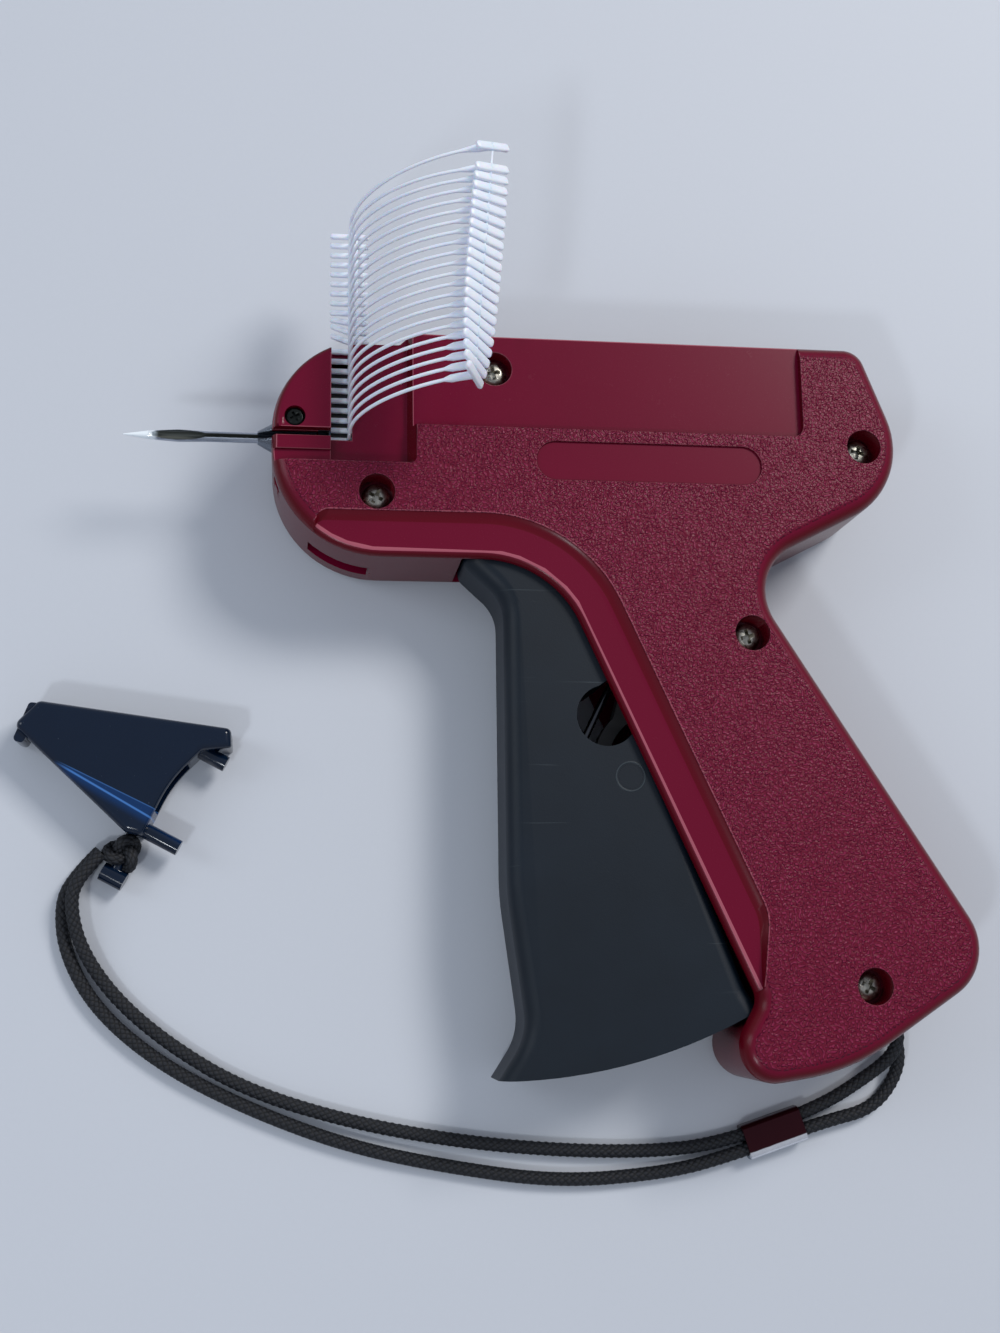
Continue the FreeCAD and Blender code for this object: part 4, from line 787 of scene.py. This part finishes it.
def screwProfile():
    # radius and height along a screw's outline, from its tip over the thread to the top of its dome
    s = screws
    length, shank, head, top = s["shankLength"], s["shankRadius"], s["headRadius"], s["headHeight"]
    root, waist, pitch, crest = shank - s["threadDepth"], shank - s["waist"], s["threadPitch"], s["crest"]
    profile = [(0, -length), (s["tip"], s["tip"] - length)]
    for turn in range(int((length - s["threadFree"]) / pitch)):
        base = s["threadStart"] - length + turn * pitch
        profile += [(root, base), (shank, base + crest), (root, base + crest * 2)]
    low = s["seatGap"]
    profile += [(waist, -s["waistStart"]), (waist, low), (head - s["lip"], low), (head, low + s["lip"])]
    for step in range(s["domeSteps"] + 1):
        angle = math.radians(s["domeStart"] + (90.0 - s["domeStart"]) * step / s["domeSteps"])
        reach = head * math.cos(angle) ** s["domePower"] if step < s["domeSteps"] else 0
        profile.append((reach, s["rim"] + (top - s["rim"]) * math.sin(angle)))
    return [(radius * mm, height * mm) for radius, height in profile]


def recessBlade(turn):
    # one blade of the cross that is cut into a head
    s = screws
    work = bmesh.new()
    long, wide = s["recessReach"], s["recessWidth"] / 2
    spin = Matrix.Rotation(turn, 3, "Z")
    corners = []
    for z, reach in ((s["headHeight"] - s["recessDepth"], s["recessTaper"]), (s["headHeight"] + 0.3, 1.0)):
        for a, b in ((-1, -1), (1, -1), (1, 1), (-1, 1)):
            corners.append(work.verts.new(spin @ Vector((a * long * reach, b * wide, z)) * mm))
    for face in ((3, 2, 1, 0), (4, 5, 6, 7), (0, 1, 5, 4), (1, 2, 6, 5), (2, 3, 7, 6), (3, 0, 4, 7)):
        work.faces.new([corners[i] for i in face])
    return newPiece("recess", meshOf(work, "recess"))


def screwShape():
    work = bmesh.new()
    lathe(work, screwProfile())
    blank = newPiece("screwBlank", meshOf(work, "screwBlank"))
    blades = [recessBlade(turn) for turn in (0, math.pi / 2)]
    for blade in blades:
        cut = blank.modifiers.new("recess", "BOOLEAN")
        cut.operation = "DIFFERENCE"
        cut.solver = "EXACT"
        cut.object = blade
    mesh = plainMesh(blank, "screwShape")
    for blade in blades:
        bpy.data.objects.remove(blade)
    return newPiece("screwShape", mesh)


def nodeGroup(name, inputs):
    tree = bpy.data.node_groups.new(name, "GeometryNodeTree")
    tree.interface.new_socket(name="Geometry", in_out="INPUT", socket_type="NodeSocketGeometry")
    keys = {}
    for label, kind in inputs:
        keys[label] = tree.interface.new_socket(name=label, in_out="INPUT", socket_type=kind).identifier
    tree.interface.new_socket(name="Geometry", in_out="OUTPUT", socket_type="NodeSocketGeometry")
    return tree, keys


def grown(holder, tree, keys, values, name):
    # runs a Geometry Nodes tree on a helper object and gives the plain mesh
    modifier = holder.modifiers.new("grown", "NODES")
    modifier.node_group = tree
    for label, value in values.items():
        modifier[keys[label]] = value
    return plainMesh(holder, name)


def screwTree():
    # a screw on every seat, each turned by chance
    tree, keys = nodeGroup("screwsOnSeats", [
        ("Screw", "NodeSocketObject"), ("Finish", "NodeSocketMaterial"), ("Seed", "NodeSocketInt")])
    graph = Graph(tree)
    inlet = graph.add("NodeGroupInput").socket.node
    screw, finish, seed, seats = (
        Wire(graph, inlet.outputs[label]) for label in ("Screw", "Finish", "Seed", "Geometry"))
    shape = graph.add("GeometryNodeObjectInfo", {}, {"Object": screw}, out="Geometry")
    spin = graph.add("FunctionNodeRandomValue", {"data_type": "FLOAT"},
                     {2: 0.0, 3: math.pi / 2, "Seed": seed}, out=1)
    turn = graph.add("ShaderNodeCombineXYZ", {}, {"Z": spin})
    placed = graph.add("GeometryNodeInstanceOnPoints", {}, {
        "Points": seats, "Instance": shape, "Rotation": turn})
    real = graph.add("GeometryNodeRealizeInstances", {}, {0: placed})
    coated = graph.add("GeometryNodeSetMaterial", {}, {0: real, "Material": finish})
    graph.add("NodeGroupOutput", {}, {0: coated})
    return tree, keys


def makeScrews():
    shape = screwShape()
    seats = bpy.data.meshes.new("seats")
    seats.from_pydata([Vector((x, y, screws["seat"])) * mm for x, y in screws["places"]], [], [])
    tree, keys = screwTree()
    mesh = grown(newPiece("seats", seats), tree, keys,
                 {"Screw": shape, "Finish": finishes["zinc"], "Seed": screws["seed"]}, "housingScrews")
    bpy.data.objects.remove(shape)
    dress("housingScrews", mesh, "housing_screws", 30.0)


makeScrews()
print("screws made:", len(screws["places"]))


# fasteners
fastener = {
    "count": 22,
    "pitch": 2.12,
    "barX": -63.7,
    "barLength": 8.1,
    "barRadius": 0.55,
    "barRound": 0.5,
    "barLap": 0.3,
    "needleY": 45.65,
    "needleZ": 20.0,
    "riseZ": 26.4,
    "riseSteps": 3,
    "arcSteps": 24,
    "paddleX": -41.2,
    "drift": 0.19,
    "paddleZ": 49.0,
    "lean": 3.9,
    "lastLean": 2.4,
    "lineRadius": 0.35,
    "neckRadius": 0.78,
    "neckLength": 5.0,
    "neckTaper": 1.4,
    "paddle": (1.0, 1.75, 9.4),
    "paddleRound": 0.7,
    "tilt": 24.0,
    "fan": 28.0,
    "fanRows": 3.0,
    "turn": 18.0,
    "twist": 40.0,
    "bentBars": {10: 20.0, 11: 20.0, 12: 9.0},  # row and degrees
    "webX": 1.45,
    "web": (0.25, 0.22),
    "thread": (0.22, 0.22),
}


def barPlace(row):
    f = fastener
    return Vector((f["barX"], f["needleY"] + f["pitch"] * row, f["needleZ"]))


def paddlePlace(row):
    f = fastener
    last = row == f["count"] - 1
    y = f["needleY"] + f["pitch"] * row + f["lean"] + (f["lastLean"] if last else 0.0)
    return Vector((f["paddleX"] + f["drift"] * row, y, f["paddleZ"]))


def fastenerLine(row):
    # centreline of one fastener, from its bar up and over to its paddle
    f = fastener
    foot, end = barPlace(row), paddlePlace(row)
    out = Vector((end.x - foot.x, end.y - foot.y, 0))
    height = end.z - f["riseZ"]
    bend = (out.length ** 2 + height ** 2) / (2 * out.length)
    sweep = math.atan2(height, bend - out.length)
    way = out.normalized()
    rise = Vector((foot.x, foot.y, f["riseZ"]))
    points = [foot.lerp(rise, step / f["riseSteps"]) for step in range(f["riseSteps"])]
    for step in range(f["arcSteps"] + 1):
        angle = sweep * step / f["arcSteps"]
        points.append(rise + way * (bend * (1 - math.cos(angle))) + Vector((0, 0, bend * math.sin(angle))))
    return points


def lengthsAlong(points):
    # how far along the line each of its points lies
    walked = [0.0]
    for a, b in zip(points, points[1:]):
        walked.append(walked[-1] + (b - a).length)
    return walked


def joinRings(work, rings):
    # a closed skin over rings of the same number of corners
    for low, high in zip(rings, rings[1:]):
        for k in range(len(low)):
            j = (k + 1) % len(low)
            work.faces.new((low[k], low[j], high[j], high[k]))
    work.faces.new(rings[0])
    work.faces.new(rings[-1])


def tubeAlong(work, points, radii, sides=10):
    # a round tube through points, with a radius for each
    rings = []
    for i, point in enumerate(points):
        way = (points[min(i + 1, len(points) - 1)] - points[max(i - 1, 0)]).normalized()
        side = way.cross(Vector((0, 1, 0))).normalized()
        up = side.cross(way)
        rings.append([work.verts.new(point + side * (radii[i] * math.cos(math.tau * k / sides))
                                     + up * (radii[i] * math.sin(math.tau * k / sides)))
                      for k in range(sides)])
    joinRings(work, rings)


roundEnd = {
    "square": 0.6,
    "step": 0.35,
    "widths": (0.45, 0.82, 1.0),
}


def roundBar(work, centre, axis, length, radii, cut=0.35, sides=14):
    # a bar with softened ends and a rounded square section; radii are its two half widths
    side = Vector((0, 1, 0)) if abs(axis.y) < 0.9 else Vector((1, 0, 0))
    up = axis.cross(side).normalized()
    side = up.cross(axis).normalized()

    def swollen(value):
        return math.copysign(abs(value) ** roundEnd["square"], value)

    steps = (0.0, roundEnd["step"], 1.0)
    ends = [(0.5 - step * cut / length, width) for step, width in zip(steps, roundEnd["widths"])]
    rings = []
    for place, shrink in [(-place, shrink) for place, shrink in ends] + ends[::-1]:
        middle = centre + axis * (place * length)
        ring = []
        for k in range(sides):
            angle = math.tau * k / sides
            a = swollen(math.cos(angle)) * radii[0] * shrink
            b = swollen(math.sin(angle)) * radii[1] * shrink
            ring.append(work.verts.new(middle + side * a + up * b))
        rings.append(ring)
    joinRings(work, rings)


def meshFrom(build, name):
    work = bmesh.new()
    build(work)
    bmesh.ops.recalc_face_normals(work, faces=work.faces)
    for vertex in work.verts:
        vertex.co *= mm
    return meshOf(work, name)


def lineWithNeck(work, row):
    f = fastener
    points = fastenerLine(row)
    travelled = lengthsAlong(points)
    start = travelled[-1] - f["neckLength"] - f["neckTaper"] / 2
    radii = []
    for reach in travelled:
        share = min(max((reach - start) / f["neckTaper"], 0.0), 1.0)
        share = share * share * (3 - 2 * share)
        radii.append(f["lineRadius"] + (f["neckRadius"] - f["lineRadius"]) * share)
    tubeAlong(work, points, radii)


def barShape(work):
    f = fastener
    radii = (f["barRadius"], f["barRadius"])
    roundBar(work, Vector(), Vector((1, 0, 0)), f["barLength"], radii, f["barRound"])


def halfBar(work, side):
    f = fastener
    half = f["barLength"] / 2 + f["barLap"]
    centre = Vector((side * (half / 2 - f["barLap"]), 0, 0))
    roundBar(work, centre, Vector((1, 0, 0)), half, (f["barRadius"], f["barRadius"]), f["barRound"])


def paddleShape(work):
    thick, wide, long = fastener["paddle"]
    roundBar(work, Vector(), Vector((0, 0, 1)), long, (wide / 2, thick / 2), fastener["paddleRound"], 16)


def clipTree():
    tree, keys = nodeGroup("fastenerRow", [
        ("Bar", "NodeSocketObject"), ("Paddle", "NodeSocketObject"), ("Count", "NodeSocketInt"),
        ("First", "NodeSocketVector"), ("Step", "NodeSocketVector"), ("First Paddle", "NodeSocketVector"),
        ("Paddle Step", "NodeSocketVector"), ("Last Lean", "NodeSocketFloat"), ("Last Row", "NodeSocketInt"),
        ("Tilt", "NodeSocketFloat"), ("Fan", "NodeSocketFloat"), ("Fan Rows", "NodeSocketFloat"),
        ("Turn", "NodeSocketFloat"), ("Twist", "NodeSocketFloat"), ("Offset", "NodeSocketInt"),
        ("Bent Row", "NodeSocketInt"), ("Bent Reach", "NodeSocketFloat"), ("Finish", "NodeSocketMaterial")])
    graph = Graph(tree)
    inlet = graph.add("NodeGroupInput").socket.node

    def given(label):
        return Wire(graph, inlet.outputs[label])

    def line(start, step):
        return graph.add("GeometryNodeMeshLine", {"mode": "OFFSET"}, {
            "Count": given("Count"), "Start Location": given(start), "Offset": given(step)})

    def placed(points, thing, turn=None, where=True):
        shape = graph.add("GeometryNodeObjectInfo", {}, {"Object": given(thing)}, out="Geometry")
        values = {"Points": points, "Instance": shape, "Selection": where}
        if turn is not None:
            values["Rotation"] = turn
        return graph.add("GeometryNodeInstanceOnPoints", {}, values)

    row = graph.add("GeometryNodeInputIndex") + given("Offset")
    last = graph.add("ShaderNodeMath", {"operation": "COMPARE"}, {0: row, 1: given("Last Row"), 2: 0.1})
    apart = graph.add("ShaderNodeCombineXYZ", {}, {"Y": last * given("Last Lean")})
    ends = graph.add("GeometryNodeSetPosition", {}, {
        "Geometry": line("First Paddle", "Paddle Step"), "Offset": apart})
    settle = graph.add("ShaderNodeMath", {"operation": "EXPONENT"}, {0: row / given("Fan Rows") * -1.0})
    tilt = (given("Tilt") + given("Fan") * (1.0 - settle)) * -1.0
    along = row / given("Last Row")
    twist = given("Twist") * along * along - given("Turn")
    turn = graph.add("ShaderNodeCombineXYZ", {}, {"Y": tilt, "Z": twist})
    joined = graph.add("GeometryNodeJoinGeometry")
    straight = graph.add("ShaderNodeMath", {"operation": "GREATER_THAN"},
                         {0: abs(row - given("Bent Row")), 1: given("Bent Reach")})
    bars = placed(line("First", "Step"), "Bar", None, straight)
    for branch in (placed(ends, "Paddle", turn), bars, given("Geometry")):
        tree.links.new(branch.socket, joined.socket.node.inputs[0])
    real = graph.add("GeometryNodeRealizeInstances", {}, {0: joined})
    coated = graph.add("GeometryNodeSetMaterial", {}, {0: real, "Material": given("Finish")})
    graph.add("NodeGroupOutput", {}, {0: coated})
    return tree, keys


def linesAndWebs(first, last):
    # every line with its neck, the bent halves of some bars, the web along the bars and the paddles' thread
    f = fastener

    def build(work):
        for row in range(first, last + 1):
            lineWithNeck(work, row)
            for side in (-1, 1) if row in f["bentBars"] else ():
                old = set(work.verts)
                halfBar(work, side)
                turn = Matrix.Rotation(math.radians(f["bentBars"][row]) * min(side, 0), 3, "Z")
                for vertex in [v for v in work.verts if v not in old]:
                    vertex.co = barPlace(row) + turn @ vertex.co
        if last > first:
            along = Vector((f["webX"], 0, 0))
            rods = ((barPlace(first) + along, barPlace(last) + along, f["web"]),
                    (paddlePlace(first), paddlePlace(last), f["thread"]))
            for start, end, radii in rods:
                run = end - start
                roundBar(work, (start + end) / 2, run.normalized(), run.length, radii, 0.2, 8)
    return build


def makeFasteners():
    f = fastener
    bar = newPiece("bar", meshFrom(barShape, "bar"))
    paddle = newPiece("paddle", meshFrom(paddleShape, "paddle"))
    tree, keys = clipTree()
    bent = sorted(f["bentBars"])
    for node, name, first, last in (("loaded_fastener", "loadedFastener", 0, 0),
                                    ("fastener_clip", "fastenerClip", 1, f["count"] - 1)):
        lines = newPiece("lines", meshFrom(linesAndWebs(first, last), "lines"))
        values = {
            "Bar": bar, "Paddle": paddle, "Finish": finishes["nylon"],
            "Count": last - first + 1, "Offset": first, "Last Row": f["count"] - 1,
            "First": barPlace(first) * mm,
            "Step": Vector((0, f["pitch"], 0)) * mm,
            "First Paddle": paddlePlace(first) * mm,
            "Paddle Step": Vector((f["drift"], f["pitch"], 0)) * mm,
            "Last Lean": f["lastLean"] * mm, "Fan Rows": f["fanRows"],
            "Bent Row": bent[len(bent) // 2], "Bent Reach": len(bent) / 2,
            "Tilt": math.radians(f["tilt"]), "Fan": math.radians(f["fan"]),
            "Turn": math.radians(f["turn"]), "Twist": math.radians(f["twist"]),
        }
        dress(name, grown(lines, tree, keys, values, name), node, 40.0, weighted=False)
    bpy.data.objects.remove(bar)
    bpy.data.objects.remove(paddle)


makeFasteners()
print("fasteners made:", fastener["count"])


# return spring
spring = dress("returnSpring", weldedMesh("return_spring", "returnSpring"), "return_spring", 60.0,
               weighted=False, rides=False)
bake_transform(spring)


# lanyard
lanyard = {
    "diameter": 2.8,
    "inner": [
        (48.2, -66.5, 8.4), (50.6, -73.6, 8.4), (49.9, -78.6, 6.2), (45.4, -82.8, 3.4),
        (34.53, -89.31, 2.1), (13.51, -95.8, 2.1), (0.0, -97.2, 1.4), (-20.0, -96.5, 1.4),
        (-42.0, -94.0, 1.4), (-64.3, -89.4, 1.4), (-83.6, -82.9, 1.4), (-97.8, -74.3, 1.4),
        (-108.4, -65.4, 1.4), (-115.4, -55.6, 2.6), (-117.6, -46.6, 4.4), (-116.2, -41.4, 4.7),
        (-111.8, -36.7, 4.3)],
    "outer": [
        (48.2, -66.5, 5.3), (51.4, -75.4, 4.9), (52.2, -82.4, 2.2), (46.4, -89.9, 1.5),
        (35.39, -92.1, 2.1), (14.37, -98.59, 2.1), (2.0, -101.4, 1.4), (-20.0, -102.6, 1.4),
        (-43.0, -99.0, 1.4), (-63.4, -94.3, 1.4), (-83.5, -86.4, 1.4), (-99.6, -77.9, 1.4),
        (-111.9, -67.6, 1.4), (-118.3, -56.9, 1.4), (-119.8, -47.2, 1.4), (-117.6, -41.4, 1.4),
        (-112.4, -36.1, 1.6)],
    "innerLength": 0.216,
    "outerLength": 0.229,
    "strands": 6,
    "strandPitch": 1.5,
    "braidDepth": 0.30,
    "crown": (0.55, 0.45),
    "sides": 48,
    "ringStep": 0.26,
    "crease": 75.0,
    "knotCentre": (-107.7, -36.6, 3.1),
    "knotSize": 1.02,
    "knotHeight": 1.45,
    "knotRadius": 1.25,
    "knotTurn": 0.4,
    "knotSteps": 120,
}


def splineLine(name, route):
    # points along the smooth spline that a route controls
    data = bpy.data.curves.new(name, "CURVE")
    data.dimensions = "3D"
    spline = data.splines.new("NURBS")
    spline.points.add(len(route) - 1)
    for point, place in zip(spline.points, route):
        point.co = (*(Vector(place) * mm), 1.0)
    spline.order_u = 3
    spline.use_endpoint_u = True
    spline.resolution_u = 24
    mesh = plainMesh(newPiece(name, data), name)
    points = [vertex.co.copy() for vertex in mesh.vertices]
    bpy.data.meshes.remove(mesh)
    return points


def evenSteps(points, step):
    # the same line, walked in equal steps
    walked = lengthsAlong(points)
    count = max(2, round(walked[-1] / step))
    out, index = [], 0
    for k in range(count + 1):
        want = walked[-1] * k / count
        while index < len(points) - 2 and walked[index + 1] < want:
            index += 1
        span = walked[index + 1] - walked[index]
        share = (want - walked[index]) / span if span > 0 else 0.0
        out.append(points[index].lerp(points[index + 1], min(max(share, 0.0), 1.0)))
    return out, walked[-1]


def braidHeight(p, q):
    # how far the upper strand stands out where the two families of strands cross
    a, b = p % 1.0, q % 1.0
    over = (math.floor(p) + math.floor(q)) % 2 == 0
    across, along = (a, b) if over else (b, a)
    power, low = lanyard["crown"]
    return (math.sin(math.pi * across) ** power) * (low + (1.0 - low) * math.sin(math.pi * along))


def braidedRings(points, turns, radius, closed):
    # the corners of every ring, and for each its strands round the cord and along it
    k = lanyard
    sides, strands, count = k["sides"], k["strands"], len(points)
    side = None
    places, maps = [], []
    for i, point in enumerate(points):
        ahead = points[(i + 1) % count] if closed else points[min(i + 1, count - 1)]
        behind = points[i - 1] if closed or i else points[0]
        way = (ahead - behind).normalized()
        if side is None:
            side = way.cross(Vector((0, 0, 1))).normalized()
        side = (side - way * side.dot(way)).normalized()
        up = way.cross(side)
        run = turns * i / (count if closed else count - 1)
        for j in range(sides):
            angle = math.tau * j / sides
            around = strands * j / sides
            lift = radius - k["braidDepth"] * mm * (1.0 - braidHeight(around + run, run - around))
            places.append(point + (side * math.cos(angle) + up * math.sin(angle)) * lift)
            maps.append((around, run))
    return places, maps


def ringFaces(count, sides, closed):
    faces = []
    for i in range(count if closed else count - 1):
        low, high = i * sides, ((i + 1) % count) * sides
        for j in range(sides):
            n = (j + 1) % sides
            faces.append((low + j, low + n, high + n, high + j))
    if not closed:
        faces.append(tuple(reversed(range(sides))))
        faces.append(tuple(range((count - 1) * sides, count * sides)))
    return faces


def braidedTube(name, points, radius, closed=False):
    # a round cord whose braid stands out of its surface, with the braid's own map
    k = lanyard
    points, length = evenSteps(points, k["ringStep"] * mm)
    sides, strands = k["sides"], k["strands"]
    turns = length / (k["strandPitch"] * mm)
    if closed:
        turns = round(turns)
        points = points[:-1]
    places, maps = braidedRings(points, turns, radius, closed)
    mesh = bpy.data.meshes.new(name)
    mesh.from_pydata(places, [], ringFaces(len(points), sides, closed))
    layer = mesh.uv_layers.new(name="braid")
    lastRing = (len(points) - 1) * sides
    for face in mesh.polygons:
        corners = [(i, mesh.loops[i].vertex_index) for i in face.loop_indices]
        wrap = max(maps[vertex][0] for _, vertex in corners) > strands * 0.75
        for i, vertex in corners:
            across, along = maps[vertex]
            if wrap and across < strands * 0.25:
                across += strands
            if closed and face.index >= lastRing and vertex < sides:
                along = turns
            layer.data[i].uv = (across + along, along - across)
    work = bmesh.new()
    work.from_mesh(mesh)
    bmesh.ops.recalc_face_normals(work, faces=work.faces)
    work.to_mesh(mesh)
    work.free()
    return mesh


def knotLine():
    # a closed trefoil
    k = lanyard
    centre, steps = Vector(k["knotCentre"]), k["knotSteps"]
    points = []
    for step in range(steps):
        t = math.tau * step / steps
        flat = Vector((math.sin(t) + 2 * math.sin(2 * t), math.cos(t) - 2 * math.cos(2 * t), 0))
        flat.rotate(Matrix.Rotation(k["knotTurn"], 3, "Z"))
        lift = Vector((0, 0, -math.sin(3 * t) * k["knotHeight"]))
        points.append((centre + flat * k["knotSize"] + lift) * mm)
    return points + [points[0].copy()]


def makeCords():
    k = lanyard
    cords = {}
    for node, name, route in (("lanyard_inner", "lanyardInner", "inner"),
                              ("lanyard_outer", "lanyardOuter", "outer")):
        line = splineLine(name, k[route])
        mesh = braidedTube(name, line, k["diameter"] / 2 * mm)
        cords[route] = (dress(name, mesh, node, k["crease"], weighted=False), line)
    mesh = braidedTube("lanyardKnot", knotLine(), k["knotRadius"] * mm, closed=True)
    tied = dress("lanyardKnot", mesh, "lanyard_knot", k["crease"], weighted=False)
    for route, pieces in (("inner", [made["ferrule"], tied]), ("outer", [])):
        piece, line = cords[route]
        k[route + "Length"]


makeCords()
print("lanyard made")


# surroundings
room = {
    "floorSize": 4.0,
    "floor": colour(196, 201, 210),
    "speck": colour(182, 187, 196),
    "speckScale": 900.0,
    "speckShare": 0.12,
    "floorRoughness": 0.7,
    "world": (0.80, 0.86, 0.98, 1.0),
    "worldStrength": 0.42,
    "lamps": [
        ("keyLamp", (0.56, 0.56, 0.80), (0.36, 0.30), 8.0, (1.0, 0.97, 0.93)),
        ("sideLamp", (-0.80, 0.20, 0.55), (0.30, 0.5), 1.4, (0.86, 0.93, 1.0)),
        ("glintLamp", (-0.34, -0.42, 0.62), (0.07, 0.07), 1.1, (0.9, 0.95, 1.0)),
    ],
    "aim": (-0.03, -0.01, 0.0),
}


def floorPaint(graph, place):
    speck = graph.noise(place, room["speckScale"])
    return {
        "Base Color": graph.mix(speck * room["speckShare"], room["floor"], room["speck"]),
        "Roughness": room["floorRoughness"],
    }


def setRoom():
    half = room["floorSize"] / 2
    mesh = bpy.data.meshes.new("floor")
    mesh.from_pydata([(-half, -half, 0), (half, -half, 0), (half, half, 0), (-half, half, 0)],
                     [], [(0, 1, 2, 3)])
    mesh.materials.append(newMaterial("floorPaint", {}, floorPaint))
    floor = newPiece("floor", mesh)
    world = bpy.data.worlds.new("room")
    world.use_nodes = True
    sky = world.node_tree.nodes["Background"]
    sky.inputs[0].default_value = room["world"]
    sky.inputs[1].default_value = room["worldStrength"]
    bpy.context.scene.world = world
    for name, place, size, power, tint in room["lamps"]:
        lamp = bpy.data.lights.new(name, "AREA")
        lamp.shape = "RECTANGLE"
        lamp.size, lamp.size_y = size
        lamp.energy = power
        lamp.color = tint
        holder = bpy.data.objects.new(name, lamp)
        holder.location = place
        aim = Vector(room["aim"]) - Vector(place)
        holder.rotation_euler = aim.to_track_quat("-Z", "Y").to_euler()
        bpy.context.scene.collection.objects.link(holder)
    bpy.context.scene.view_settings.view_transform = "Standard"


setRoom()
print("room set")
